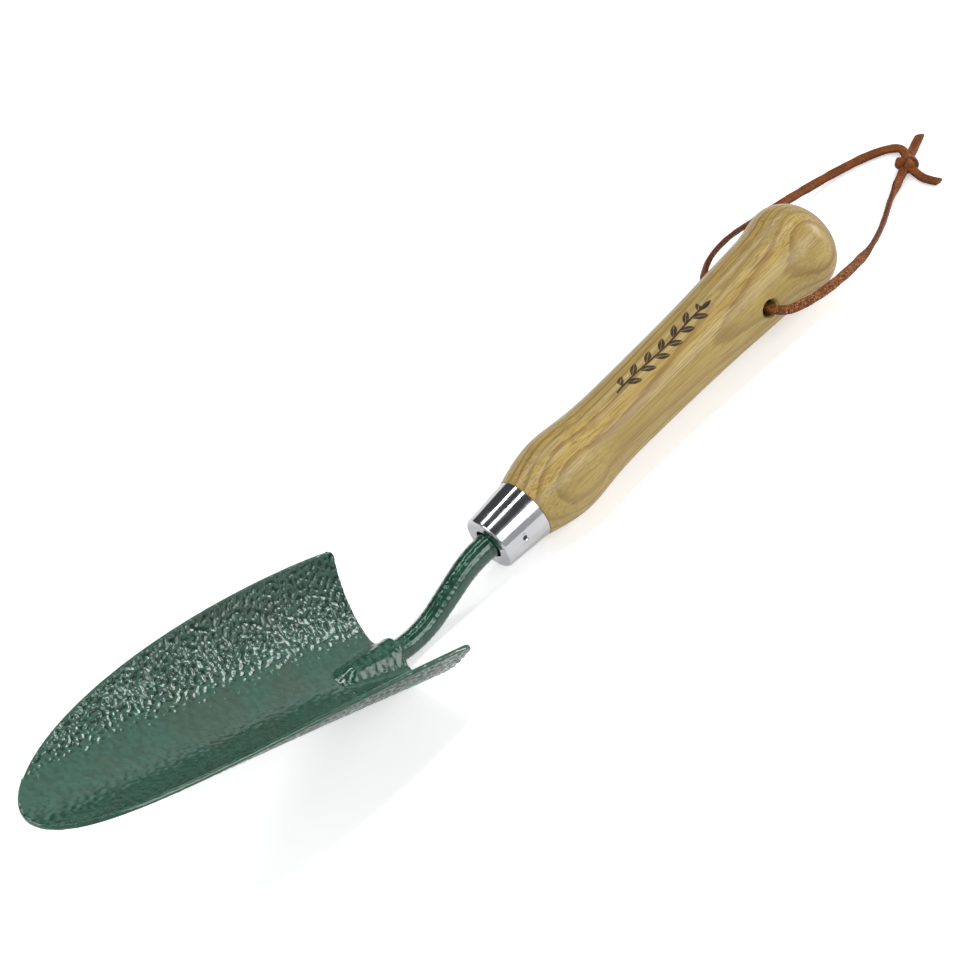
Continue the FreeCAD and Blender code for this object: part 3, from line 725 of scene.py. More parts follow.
def route_line(name, points):
    """Points along the thong's line: a smooth spline with the route's points as its control points."""
    curve = bpy.data.curves.new(name, "CURVE")
    curve.dimensions, curve.resolution_u = "3D", 24
    spline = curve.splines.new("NURBS")
    spline.points.add(len(points) - 1)
    spline.points.foreach_set("co", np.hstack([points, np.ones((len(points), 1))]).ravel())
    spline.order_u = 3
    spline.use_endpoint_u = True
    holder = bpy.data.objects.new(name, curve)
    bpy.context.scene.collection.objects.link(holder)
    mesh = bpy.data.meshes.new_from_object(holder.evaluated_get(bpy.context.evaluated_depsgraph_get()))
    line = np.empty(len(mesh.vertices) * 3)
    mesh.vertices.foreach_get("co", line)
    bpy.data.objects.remove(holder)
    return line.reshape(-1, 3)


def face_ways(line, keys):
    """The way that the lace's smooth face looks along its line: set at a few shares of the length, eased
    between them, and squared to the line."""
    run = np.concatenate([[0.0], np.cumsum(np.linalg.norm(np.diff(line, axis=0), axis=1))])
    places = np.array([key[0] for key in keys]) * run[-1]
    ways = unit(np.array([key[1] for key in keys], float))
    way = np.stack([np.interp(run, places, ways[:, k]) for k in range(3)], -1)
    reach = 7
    kernel = np.ones(2 * reach + 1) / (2 * reach + 1)
    way = np.stack([np.convolve(np.pad(way[:, k], reach, mode="edge"), kernel, "valid") for k in range(3)], -1)
    ahead = unit(np.gradient(line, axis=0))
    return ahead, unit(way - dot(way, ahead) * ahead), run


def lace_section(around):
    """The lace's section, a superellipse of power 3: the angles, and how far across and through each is."""
    angle = round_angles(around)
    across, through = (np.sign(part) * np.abs(part) ** (2.0 / 3.0) for part in (np.cos(angle), np.sin(angle)))
    return angle, across, through


def lace_marks(rings, across, through):
    """Where each point lies on the lace: from flesh to grain side, and from the middle to a cut edge."""
    return {"grain_side": np.broadcast_to(through, rings.shape[:2]).ravel(),
            "edge_side": np.broadcast_to(np.abs(across), rings.shape[:2]).ravel()}


def lace_rings(line, keys, width, thickness, seed, around=40, cut=0.0):
    """A cut lace: a superellipse of power 3 carried along a line with its flat turned as told. Its width
    and thickness wander by a few percent, its faces carry a fine grain, and a skewed cut leans its end."""
    line, _ = spaced(line, max(24, int(len(line))))
    ahead, up, run = face_ways(line, keys)
    side = np.cross(ahead, up)
    angle, across, through = lace_section(around)
    rng = np.random.default_rng(seed)
    pitches = (0.0061, 0.0113, 0.027)
    wander = [sum(np.sin(run * 2.0 * np.pi / pitch + rng.uniform(0.0, 6.28)) for pitch in pitches)
              for _ in range(2)]
    width_wander, thickness_wander = 0.022, 0.03
    half_w = width / 2.0 * (1.0 + width_wander * wander[0])
    half_t = thickness / 2.0 * (1.0 + thickness_wander * wander[1])
    grain = hammered_round(run[:, None], angle[None, :], width * GIRTH_SHARE, GRAIN_PITCH, seed + 5)
    rings = (line[:, None] + (half_w[:, None] * across[None])[..., None] * side[:, None]
             + (half_t[:, None] * through[None])[..., None] * up[:, None])
    grain_height, cut_length = 0.000045, 0.004
    rings = rings + unit(rings - line[:, None]) * (grain * grain_height)[..., None]
    if cut:
        lean = np.clip(1.0 - (run[-1] - run) / cut_length, 0.0, 1.0)[:, None] * cut
        rings = rings + ahead[:, None] * (lean * half_w[:, None] * across[None])[..., None]
    return rings, line, lace_marks(rings, across, through)


def lace_piece(name, line, keys, sizes, seed, replaced, material, **more):
    """A length of lace as one finished piece, its cut ends closed by a fan, and the line that it follows."""
    rings, line, marks = lace_rings(line, keys, sizes.width, sizes.thickness, seed, **more)
    surface = skin(rings, rings[0].mean(0), rings[-1].mean(0))
    marks = {key: np.concatenate([values, [0.0, 0.0]]) for key, values in marks.items()}
    return add_piece(name, surface, material, THONG_BODY, "lace_leather", replaced, marks=marks), line


def knot_line(count=260):
    """The tightened overhand knot's line: a three-lobed clover whose strand passes over and under itself,
    squeezed to the knot's length, width and height, and turned to lie across the legs."""
    t = np.linspace(0.0, 2.0 * np.pi, count)
    x = (np.sin(t) + 2.0 * np.sin(2.0 * t)) / 3.0
    y = (np.cos(t) - 2.0 * np.cos(2.0 * t)) / 3.0
    z = -np.sin(3.0 * t)
    half_length, half_width, half_height = 0.0032, 0.0022, 0.0015
    local = np.stack([x * half_length, y * half_width, z * half_height], -1)
    turn, lower = math.radians(-45.0), -0.0003
    turned_way = np.stack([local[:, 0] * math.cos(turn) - local[:, 1] * math.sin(turn),
                           local[:, 0] * math.sin(turn) + local[:, 1] * math.cos(turn), local[:, 2]], -1)
    return turned_way + np.array(KNOT_CENTRE) + np.array([0.0, 0.0, lower])


def knot_surface(s, around=36):
    """The lace carried round the knot's line, its smooth face always turned away from the knot's middle."""
    line = knot_line()[:-1]
    ahead = unit(np.roll(line, -1, axis=0) - np.roll(line, 1, axis=0))
    middle = np.array(KNOT_CENTRE)
    steeper, lift, rounds, strand_length = 1.6, 0.0002, 10, 0.05
    away = (line - middle) * np.array([1.0, 1.0, steeper]) + np.array([0.0, 0.0, lift])
    up = unit(away - dot(away, ahead) * ahead)
    for _ in range(rounds):
        up = unit(np.roll(up, 1, axis=0) + up + np.roll(up, -1, axis=0))
    up = unit(up - dot(up, ahead) * ahead)
    side = np.cross(ahead, up)
    angle, across, through = lace_section(around)
    run = np.linspace(0.0, strand_length, len(line))
    grain = hammered_round(run[:, None], angle[None, :], s.width * GIRTH_SHARE, GRAIN_PITCH, 77)
    squashed, grain_height, off_ground = 0.56, 0.00004, 0.00005
    rings = (line[:, None] + (s.width * squashed * across)[None, :, None] * side[:, None]
             + (s.thickness * 0.5 * through)[None, :, None] * up[:, None])
    rings = rings + unit(rings - line[:, None]) * (grain * grain_height)[..., None]
    rings[..., 2] = np.maximum(rings[..., 2], off_ground)
    return skin(rings, loop=True), lace_marks(rings, across, through)


# ---------------------------------------------------------------- materials

def feed(tree, socket, value):
    """Join a socket to a number or an output, or set it to a plain value."""
    value = value.socket if isinstance(value, Number) else value
    if isinstance(value, bpy.types.NodeSocket):
        tree.links.new(value, socket)
    else:
        socket.default_value = value


class Number:
    """A changing number in a node tree: adding or scaling it lays out the maths nodes."""

    def __init__(self, tree, socket):
        self.tree, self.socket = tree, socket

    def math(self, operation, *others, clamp=False):
        made = self.tree.nodes.new("ShaderNodeMath")
        made.operation, made.use_clamp = operation, clamp
        for socket, value in zip(made.inputs, (self,) + others):
            feed(self.tree, socket, value)
        return Number(self.tree, made.outputs[0])

    def __add__(self, other):
        return self.math("ADD", other)

    def __sub__(self, other):
        return self.math("SUBTRACT", other)

    def __mul__(self, other):
        return self.math("MULTIPLY", other)

    def __truediv__(self, other):
        return self.math("DIVIDE", other)

    def size(self):
        return self.math("ABSOLUTE")

    def ramp(self, low, high, start=0.0, end=1.0):
        """This number eased from start to end as it goes from low to high."""
        made = self.tree.nodes.new("ShaderNodeMapRange")
        made.interpolation_type = "SMOOTHSTEP"
        values = {"Value": self, "From Min": low, "From Max": high, "To Min": start, "To Max": end}
        for key, value in values.items():
            feed(self.tree, made.inputs[key], value)
        return Number(self.tree, made.outputs["Result"])


def node(tree, kind, inputs=None, **values):
    """A node of a kind, its options set and its inputs given a value or joined to an output."""
    made = tree.nodes.new("ShaderNode" + kind)
    for key, value in values.items():
        setattr(made, key, value)
    for key, value in (inputs or {}).items():
        feed(tree, made.inputs[key], value)
    return made


def mixed(tree, share, a, b):
    """Two colours mixed by a share. The node's sockets for these are numbers 0, 6 and 7."""
    made = tree.nodes.new("ShaderNodeMix")
    made.data_type = "RGBA"
    for index, value in ((0, share), (6, a), (7, b)):
        feed(tree, made.inputs[index], value)
    return made.outputs[2]


def noise(tree, vector, scale, detail=2.0, roughness=0.5):
    """A cloud noise, about 0.5 on the whole."""
    inputs = {"Vector": vector, "Scale": scale, "Detail": detail, "Roughness": roughness}
    return Number(tree, node(tree, "TexNoise", inputs).outputs["Fac"])


def full(rgb, share=1.0):
    """A colour scaled by a share, with its alpha."""
    return (rgb[0] * share, rgb[1] * share, rgb[2] * share, 1.0)


def group(name, inputs, outputs):
    """A new shader node group, its input node and its output node."""
    tree = bpy.data.node_groups.new(name, "ShaderNodeTree")
    for key, kind, default in inputs:
        made = tree.interface.new_socket(name=key, in_out="INPUT", socket_type=kind)
        if default is not None:
            made.default_value = default
    for key in outputs:
        tree.interface.new_socket(name=key, in_out="OUTPUT", socket_type="NodeSocketFloat")
    return tree, tree.nodes.new("NodeGroupInput"), tree.nodes.new("NodeGroupOutput")


def placed(tree, named, inputs):
    """A node group set in a material with its own values."""
    made = tree.nodes.new("ShaderNodeGroup")
    made.node_tree = bpy.data.node_groups[named]
    for key, value in inputs.items():
        feed(tree, made.inputs[key], value)
    return made


def mottled(tree, vector, scale, contrast):
    """The slow uneven tone as a number."""
    made = placed(tree, "mottle", {"Vector": vector, "Scale": scale, "Contrast": contrast})
    return Number(tree, made.outputs["Value"])


def mottle_group():
    """Slow uneven tone: two cloud noises, one four times as fine, added three to one and centred on 0.5."""
    inputs = [("Vector", "NodeSocketVector", None), ("Scale", "NodeSocketFloat", 60.0),
              ("Contrast", "NodeSocketFloat", 1.0)]
    tree, given, out = group("mottle", inputs, ["Value"])
    vector, scale = given.outputs["Vector"], given.outputs["Scale"]
    fine_scale = Number(tree, scale) * 4.0
    both = (noise(tree, vector, scale) - 0.5) * 1.5 + (noise(tree, vector, fine_scale) - 0.5) * 0.5
    value = (both * Number(tree, given.outputs["Contrast"])).math("ADD", 0.5, clamp=True)
    tree.links.new(value.socket, out.inputs["Value"])


def pebble_group():
    """Rounded pebbles: distance to the nearest of scattered points, warped a little by a noise, turned so
    that each pebble's middle is high, with a mask of the creases between."""
    inputs = [("Vector", "NodeSocketVector", None), ("Scale", "NodeSocketFloat", 600.0),
              ("Warp", "NodeSocketFloat", 0.0008)]
    tree, given, out = group("pebbles", inputs, ["Height", "Creases"])
    half = Number(tree, given.outputs["Scale"]) * 0.5
    cloud = node(tree, "TexNoise", {"Vector": given.outputs["Vector"], "Scale": half, "Detail": 1.0})
    shift = node(tree, "VectorMath", {0: cloud.outputs["Color"], 1: (0.5, 0.5, 0.5)}, operation="SUBTRACT")
    warp = node(tree, "VectorMath", {0: shift.outputs[0], "Scale": given.outputs["Warp"]}, operation="SCALE")
    moved = node(tree, "VectorMath", {0: given.outputs["Vector"], 1: warp.outputs[0]}, operation="ADD")
    cells = node(tree, "TexVoronoi", {"Vector": moved.outputs[0], "Scale": given.outputs["Scale"],
                                      "Smoothness": 0.6}, feature="SMOOTH_F1")
    distance = Number(tree, cells.outputs["Distance"])
    tree.links.new(distance.ramp(0.05, 0.75, 1.0, 0.0).socket, out.inputs["Height"])
    tree.links.new(distance.ramp(0.42, 0.72).socket, out.inputs["Creases"])


def sprig_group():
    """A burnt leaf sprig on a flat strip: Along runs from the stem's foot, Across from its middle, both
    in millimetres. The stem is a thin wave. Leaves stand on each side in turn, each an almond leaning
    forward, |across its middle| < width * (1 - (2 * share of its length - 1)^2), its rib left plain."""
    sizes = {"Along": 0.0, "Across": 0.0, "Length": 46.0, "Pitch": 6.4, "Leaf": 5.6}
    inputs = [(key, "NodeSocketFloat", value) for key, value in sizes.items()]
    tree, given, out = group("sprig", inputs, ["Mask"])
    along, across = (Number(tree, given.outputs[key]) for key in ("Along", "Across"))
    whole, pitch, leaf = (Number(tree, given.outputs[key]) for key in ("Length", "Pitch", "Leaf"))
    wave_rate, wave_height, leaf_half_width = 0.21, 0.35, 1.15
    top_half_length, top_half_width = 2.6, 0.9
    off = across - (along * wave_rate).math("SINE") * wave_height
    inside = along.ramp(0.0, 0.25) * (along / whole).ramp(0.98, 1.0, 1.0, 0.0)
    stem = off.size().ramp(0.26, 0.40, 1.0, 0.0) * inside
    lean = math.radians(36.0)
    mask = stem
    for way, start in ((1.0, 0.25), (-1.0, 0.75)):
        stand = off * way
        step = ((along / pitch) - start)
        local = (step - step.math("FLOOR")) * pitch
        ahead = local * math.cos(lean) + stand * math.sin(lean)
        beside = stand * math.cos(lean) - local * math.sin(lean)
        share = ahead / leaf
        bulge = (share * 2.0 - 1.0).math("POWER", 2.0)
        edge = (bulge * -1.0 + 1.0) * leaf_half_width
        rib = beside.size().ramp(0.06, 0.16, 0.45, 1.0)
        blade = (beside.size() - edge).ramp(-0.12, 0.06, 1.0, 0.0) * rib
        blade = blade * share.ramp(0.0, 0.04) * share.ramp(0.96, 1.0, 1.0, 0.0)
        blade = blade * along.ramp(3.0, 3.2) * (whole - along).ramp(3.6, 3.8)
        mask = mask.math("MAXIMUM", blade)
    crown = along - whole
    bulge = ((crown + top_half_length) / top_half_length).math("POWER", 2.0)
    edge = (bulge * -1.0 + 1.0) * top_half_width
    top = (across.size() - edge).ramp(-0.12, 0.06, 1.0, 0.0)
    top = top * crown.ramp(-5.2, -5.0) * crown.ramp(-0.2, 0.0, 1.0, 0.0)
    tree.links.new(mask.math("MAXIMUM", top).socket, out.inputs["Mask"])


def new_material(name):
    """A material with its node tree, its one shader and the place of each point on the piece."""
    material = bpy.data.materials.new(name)
    material.use_nodes = True
    tree = material.node_tree
    tree.nodes.clear()
    shader = tree.nodes.new("ShaderNodeBsdfPrincipled")
    out = tree.nodes.new("ShaderNodeOutputMaterial")
    tree.links.new(shader.outputs[0], out.inputs["Surface"])
    place = tree.nodes.new("ShaderNodeTexCoord").outputs["Object"]
    return material, tree, shader, place


def dress(tree, shader, values):
    """Join or set several of a shader's inputs."""
    for key, value in values.items():
        feed(tree, shader.inputs[key], value)


def bump(tree, shader, height, distance):
    made = node(tree, "Bump", {"Strength": 1.0, "Distance": distance, "Height": height})
    dress(tree, shader, {"Normal": made.outputs[0]})


def marked(tree, name):
    """The number that each of a piece's points carries under a name."""
    return Number(tree, node(tree, "Attribute", attribute_name=name).outputs["Fac"])


def drawn_out(tree, vector, share):
    """Places squeezed along the handle, which draws a pattern out lengthways."""
    return node(tree, "Mapping", {"Vector": vector, "Scale": (share, 1.0, 1.0)}).outputs[0]


def hammered_paint(b):
    """Hammered enamel: deep green that drifts paler and here and there olive, under a clear gloss, with
    painted shade on the steep walls, in the creases and most of all in the valleys between its bumps."""
    material, tree, shader, place = new_material("hammered_enamel")
    slow = mottled(tree, place, 26.0, 2.0)
    quick = mottled(tree, place, 190.0, 1.4)
    pebbles = placed(tree, "pebbles", {"Vector": place, "Scale": 430.0, "Warp": 0.0015})
    height, creases = (Number(tree, pebbles.outputs[key]) for key in ("Height", "Creases"))
    tone = mixed(tree, quick.ramp(0.25, 0.8), full(b.paint), full(b.paint_light))
    tone = mixed(tree, slow.ramp(0.60, 0.95, 0.0, 0.30), tone, full(b.paint_olive))
    raised = marked(tree, "paint_height")
    valley = raised.ramp(-1.1, 0.1, 1.0, 0.0) * raised.size().ramp(0.5, 1.0)
    wall = marked(tree, "lean").ramp(0.30, 0.85)
    # Painted shade: dimmed copies of the paint's green darken the pebbles' creases, the walls that face
    # sideways and most of all the valleys between the bumps.
    tone = mixed(tree, creases * 0.45, tone, full(b.paint, 0.45))
    tone = mixed(tree, wall * 0.45, tone, full(b.paint, 0.35))
    tone = mixed(tree, valley * 0.92, tone, full(b.paint, 0.22))
    dress(tree, shader, {"Base Color": tone, "Roughness": quick.ramp(0.2, 0.8, 0.13, 0.22), "Metallic": 0.2,
                         "Coat Weight": valley * -0.75 + 0.8, "Coat Roughness": 0.05})
    bump(tree, shader, height + quick * 0.3, 0.00016)
    return material


def plated_metal(f):
    """Polished plating: faint turned lines round the cup and a slow cloudiness."""
    material, tree, shader, place = new_material("polished_plating")
    level = node(tree, "Mapping", {"Vector": place, "Rotation": (0.0, TILT, 0.0), "Scale": (1.0, 0.02, 0.02)},
                 vector_type="TEXTURE")
    lines = noise(tree, level.outputs[0], 2600.0)
    cloud = mottled(tree, place, 90.0, 1.6)
    tone = mixed(tree, cloud, full(f.plating, 0.93), full(f.plating))
    dress(tree, shader, {"Base Color": tone, "Roughness": cloud.ramp(0.2, 0.9, 0.07, 0.15), "Metallic": 1.0})
    bump(tree, shader, lines, 0.000004)
    return material


def dull_metal(f):
    """The brad's bare head: dark, matt and uneven."""
    material, tree, shader, place = new_material("dull_brad")
    cloud = mottled(tree, place, 1400.0, 2.0)
    tone = mixed(tree, cloud, full(f.plating, 0.06), full(f.plating, 0.22))
    dress(tree, shader, {"Base Color": tone, "Roughness": cloud.ramp(0.2, 0.9, 0.40, 0.65), "Metallic": 1.0})
    bump(tree, shader, cloud, 0.00003)
    return material


def lacquered_ash(h):
    """Turned ash under lacquer. The rings are shells about a pith beside the handle, so they run as lines
    where they stand on the surface and as ovals where they lie along it. Tan pores fill each ring's
    start, fine fibres run lengthways, and a leaf sprig is burnt along the top."""
    material, tree, shader, place = new_material("ash_under_lacquer")
    mouth = tuple(in_row(np.zeros(3)))
    on_axis = node(tree, "Mapping", {"Vector": place, "Location": mouth, "Rotation": (0.0, -TILT, 0.0)},
                   vector_type="TEXTURE").outputs[0]
    split = node(tree, "SeparateXYZ", {"Vector": on_axis})
    x, y, z = (Number(tree, split.outputs[k]) for k in range(3))

    long_grain = drawn_out(tree, on_axis, 0.055)
    drift = noise(tree, long_grain, 75.0, roughness=0.45) - 0.5
    pith_angle, pith_away, pith_slope, pith_lean = math.radians(-60.0), 0.058, 0.030, 0.035
    across, up = math.sin(pith_angle), math.cos(pith_angle)
    deep = y * across + z * up + pith_away + x * pith_slope
    aside = y * up - z * across + x * pith_lean
    shells = (deep * deep + aside * aside).math("SQRT")

    ring_width, first_ring, ring_drift, ring_fray = 0.0026, 0.35, 0.0024, 0.0009
    fibre = noise(tree, drawn_out(tree, on_axis, 0.022), 2600.0, 3.0, 0.6)
    rings = (shells + drift * ring_drift + fibre * ring_fray) / ring_width + first_ring
    ring = rings - rings.math("FLOOR")
    start = ring.ramp(0.0, 0.10) * ring.ramp(0.12, 0.50, 1.0, 0.0)
    cells = node(tree, "TexVoronoi", {"Vector": drawn_out(tree, on_axis, 0.06), "Scale": 2300.0}, feature="F1")
    pore = Number(tree, cells.outputs["Distance"]).ramp(0.08, 0.34, 1.0, 0.0) * (start * 0.8 + 0.2)
    strand = noise(tree, drawn_out(tree, on_axis, 0.020), 760.0)
    line = (strand - 0.5).size().ramp(0.006, 0.030, 1.0, 0.0) * fibre.ramp(0.36, 0.50)
    band = start * fibre.ramp(0.35, 0.65, 0.55, 1.0)
    slow = mottled(tree, long_grain, 45.0, 1.5)
    tone = mixed(tree, band, full(h.wood_pale), full(h.wood_tan))
    tone = mixed(tree, fibre.ramp(0.42, 0.68, 0.0, 0.75), tone, full(h.wood_tan))
    tone = mixed(tree, pore * 0.75, tone, full(h.wood_deep))
    tone = mixed(tree, line * 0.75, tone, full(h.wood_deep))
    tone = mixed(tree, slow.ramp(0.35, 0.85, 0.0, 0.45), tone, full(h.wood_pale, 0.60))

    end_grain = (x - (h.flare[0] + 0.003)).ramp(0.0, 0.008)
    end_tone = mixed(tree, band, full(h.wood_tan, 0.90), full(h.wood_deep))
    tone = mixed(tree, end_grain * 0.80, tone, end_tone)
    # Painted shade: the inside of the thong bore and the spigot's front, seen in the gap by the tang, are
    # darkened towards a dim brown.
    radius, half_bore, step = (y * y + z * z).math("SQRT"), 0.006, 0.0005
    past_bore = (x - (h.bore_at - half_bore)).ramp(0.0, step)
    before_end = (x - (h.bore_at + half_bore)).ramp(0.0, step, 1.0, 0.0)
    inside = radius.ramp(0.0098, 0.0122, 1.0, 0.0) * past_bore * before_end
    front_shade = x.ramp(0.002, 0.004, 1.0, 0.0)
    dark = (inside * 0.75).math("MAXIMUM", front_shade * 0.97)
    tone = mixed(tree, dark, tone, full(h.wood_deep, 0.3))

    millimetres, sprig_foot, sprig_turn = 1000.0, 0.0625, math.radians(-9.0)
    round_it = (y.math("ARCTAN2", z) - sprig_turn) * (h.waist[1] * millimetres)
    along = (x - sprig_foot) * millimetres
    sprig = placed(tree, "sprig", {"Along": along, "Across": round_it, "Length": 46.0})
    mark = Number(tree, sprig.outputs["Mask"]) * fibre.ramp(0.25, 0.55, 0.72, 1.0)
    tone = mixed(tree, mark * 0.97, tone, full(h.burnt))
    dress(tree, shader, {"Base Color": tone, "Roughness": mark * 0.45 + pore * 0.1 + 0.42,
                         "Coat Weight": mark * -0.22 + end_grain * -0.10 + 0.24, "Coat Roughness": 0.16})
    bump(tree, shader, fibre * 0.35 + pore * -0.8 + mark * -2.2 + band * -0.25, 0.00006)
    return material


def lace_leather(s):
    """Cut leather lace: a smooth grain face, a paler flesh side with flecks, darker cut edges, and fine
    pebbling with pits all over, its creases darkened as painted shade."""
    material, tree, shader, place = new_material("cut_leather")
    side, edge = marked(tree, "grain_side"), marked(tree, "edge_side")
    slow = mottled(tree, place, 160.0, 1.8)
    pebbles = placed(tree, "pebbles", {"Vector": place, "Scale": 1300.0, "Warp": 0.0004})
    height, creases = (Number(tree, pebbles.outputs[key]) for key in ("Height", "Creases"))
    fuzz = noise(tree, place, 1900.0, 3.0, 0.7)
    flesh = side.ramp(-0.6, 0.5, 1.0, 0.0)
    tone = mixed(tree, slow, full(s.leather, 0.72), full(s.leather, 1.15))
    flecks = fuzz.ramp(0.50, 0.66) * (flesh * 0.90 + 0.08)
    tone = mixed(tree, flecks, tone, full(s.leather_pale))
    # Painted shade: the pebbling's creases are darkened, more on the flesh side.
    tone = mixed(tree, creases * (flesh * 0.45 + 0.40), tone, full(s.leather_dark_and_shade))
    tone = mixed(tree, edge.ramp(0.86, 1.0, 0.0, 0.75), tone, full(s.leather_dark_and_shade))
    dress(tree, shader, {"Base Color": tone, "Roughness": flesh * 0.18 + creases * 0.12 + 0.34,
                         "Specular IOR Level": 0.2})
    bump(tree, shader, height + fuzz * (flesh * 0.9 + 0.4), 0.00011)
    return material


def finishes():
    """The materials by their slots' names, made when first asked for, with the groups that they share."""
    if "mottle" not in bpy.data.node_groups:
        mottle_group()
        pebble_group()
        sprig_group()
    makers = {PAINT_SLOT: ("hammered_enamel", lambda: hammered_paint(settings("blade"))),
              "plated_ferrule": ("polished_plating", lambda: plated_metal(settings("ferrule"))),
              "lacquered_ash": ("ash_under_lacquer", lambda: lacquered_ash(settings("handle"))),
              "lace_leather": ("cut_leather", lambda: lace_leather(settings("thong")))}
    return {slot: bpy.data.materials.get(name) or make() for slot, (name, make) in makers.items()}


# ---------------------------------------------------------------- operators

class TROWEL_OT_blade(Operator):
    """Build the scoop-shaped blade with its hammered paint"""
    bl_idname = "trowel.blade"
    bl_label = "Blade"

    def execute(self, context):
        rings, paint = blade_surface(settings("blade"), settings("tang"))
        mesh = seal("blade_shell", *skin(in_row(rings)), paint)
        add_piece("blade_shell", mesh, finishes()[PAINT_SLOT], TROWEL_BODY, PAINT_SLOT, ["blade"])
        return {"FINISHED"}


class TROWEL_OT_tang(Operator):
    """Build the bent tang and the weld beads that hold the blade on it"""
    bl_idname = "trowel.tang"
    bl_label = "Tang and welds"

    def execute(self, context):
        b, t, paint = settings("blade"), settings("tang"), finishes()[PAINT_SLOT]
        add_piece("tang_rod", skin(*tang_rings(b, t)), paint, TROWEL_BODY, PAINT_SLOT, ["tang"])
        for name, side in (("weld_bead_a", 1.0), ("weld_bead_b", -1.0)):
            add_piece(name, skin(*weld_rings(b, t, side)), paint, TROWEL_BODY, PAINT_SLOT, ["tang_welds"])
        return {"FINISHED"}


class TROWEL_OT_ferrule(Operator):
    """Build the plated ferrule and the brad that pins it"""
    bl_idname = "trowel.ferrule"
    bl_label = "Ferrule and brad"

    def execute(self, context):
        f, metal = settings("ferrule"), finishes()["plated_ferrule"]
        add_piece("ferrule_cup", skin(ferrule_rings(f), loop=True), metal, TROWEL_BODY, "plated_ferrule",
                  ["ferrule"], sharp=50.0)
        dull = bpy.data.materials.get("dull_brad") or dull_metal(f)
        add_piece("brad_head", skin(*brad_rings(f)), dull, TROWEL_BODY, "plated_ferrule", ["ferrule_brad"],
                  sharp=50.0)
        return {"FINISHED"}


class TROWEL_OT_handle(Operator):
    """Build the turned ash handle with its thong bore"""
    bl_idname = "trowel.handle"
    bl_label = "Handle"

    def execute(self, context):
        mesh = handle_mesh(settings("handle"), settings("ferrule"), settings("tang"))
        add_piece("handle_turned", mesh, finishes()["lacquered_ash"], TROWEL_BODY, "lacquered_ash",
                  ["handle"], sharp=38.0)
        return {"FINISHED"}


class TROWEL_OT_thong(Operator):
    """Build the leather thong: two legs, the knot and its tails"""
    bl_idname = "trowel.thong"
    bl_label = "Leather thong"

    def execute(self, context):
        s, leather = settings("thong"), finishes()["lace_leather"]
        up, away = (0.0, 0.0, 1.0), (0.34, 0.60, -0.72)
        near_faces = [(0.0, (0.0, 0.0, -1.0)), (0.12, (-0.1, 0.3, -0.95)), (0.22, away), (0.46, away),
                      (0.62, (0.34, -0.85, -0.40)), (0.86, (0.47, -0.83, -0.28)),
                      (0.95, (-0.40, -0.50, 0.75)), (1.0, up)]
        far_faces = [(0.0, up), (0.10, (0.0, 0.3, 0.95)), (0.2, (0.2, 0.9, 0.35)), (0.36, (0.05, 0.75, 0.65)),
                     (0.5, (-0.1, -0.2, 0.97)), (0.75, (-0.1, -0.2, 0.97)), (1.0, up)]
        near, near_line = lace_piece("lace_near", route_line("near_route", NEAR_LEG), near_faces, s, 31,
                                     ["thong_near_leg"], leather)
        far, far_line = lace_piece("lace_far", route_line("far_route", FAR_LEG), far_faces, s, 41,
                                   ["thong_far_leg"], leather)
        surface, marks = knot_surface(s)
        knot = add_piece("lace_knot", surface, leather, THONG_BODY, "lace_leather", ["thong_knot"],
                         marks=marks)
        middle, tails = np.array(KNOT_CENTRE), []
        for name, end, bow, seed, cut in (("lace_tail_a", TAIL_ENDS[0], (0.0, 0.0004, 0.0), 51, 0.55),
                                          ("lace_tail_b", TAIL_ENDS[1], (-0.0012, -0.0002, 0.0), 52, -0.45)):
            share = np.linspace(0.0, 1.0, 60)[:, None]
            line = middle + (np.array(end) - middle) * share + np.array(bow) * np.sin(np.pi * share)
            line[:, 2] = middle[2] + (end[2] - middle[2]) * np.minimum(share[:, 0] * 1.8, 1.0)
            flat = [(0.0, up), (1.0, up)]
            tail, _ = lace_piece(name, line, flat, s, seed, ["thong_tails"], leather, cut=cut)
            tails.append(tail)
        for leg, line, exit_, pieces in ((near, near_line, (0.1256, -0.0136, 0.0195), [knot] + tails),
                                         (far, far_line, (0.1258, 0.0136, 0.0147), [knot])):
            line[::4].tolist() + [line[-1].tolist()]
        return {"FINISHED"}


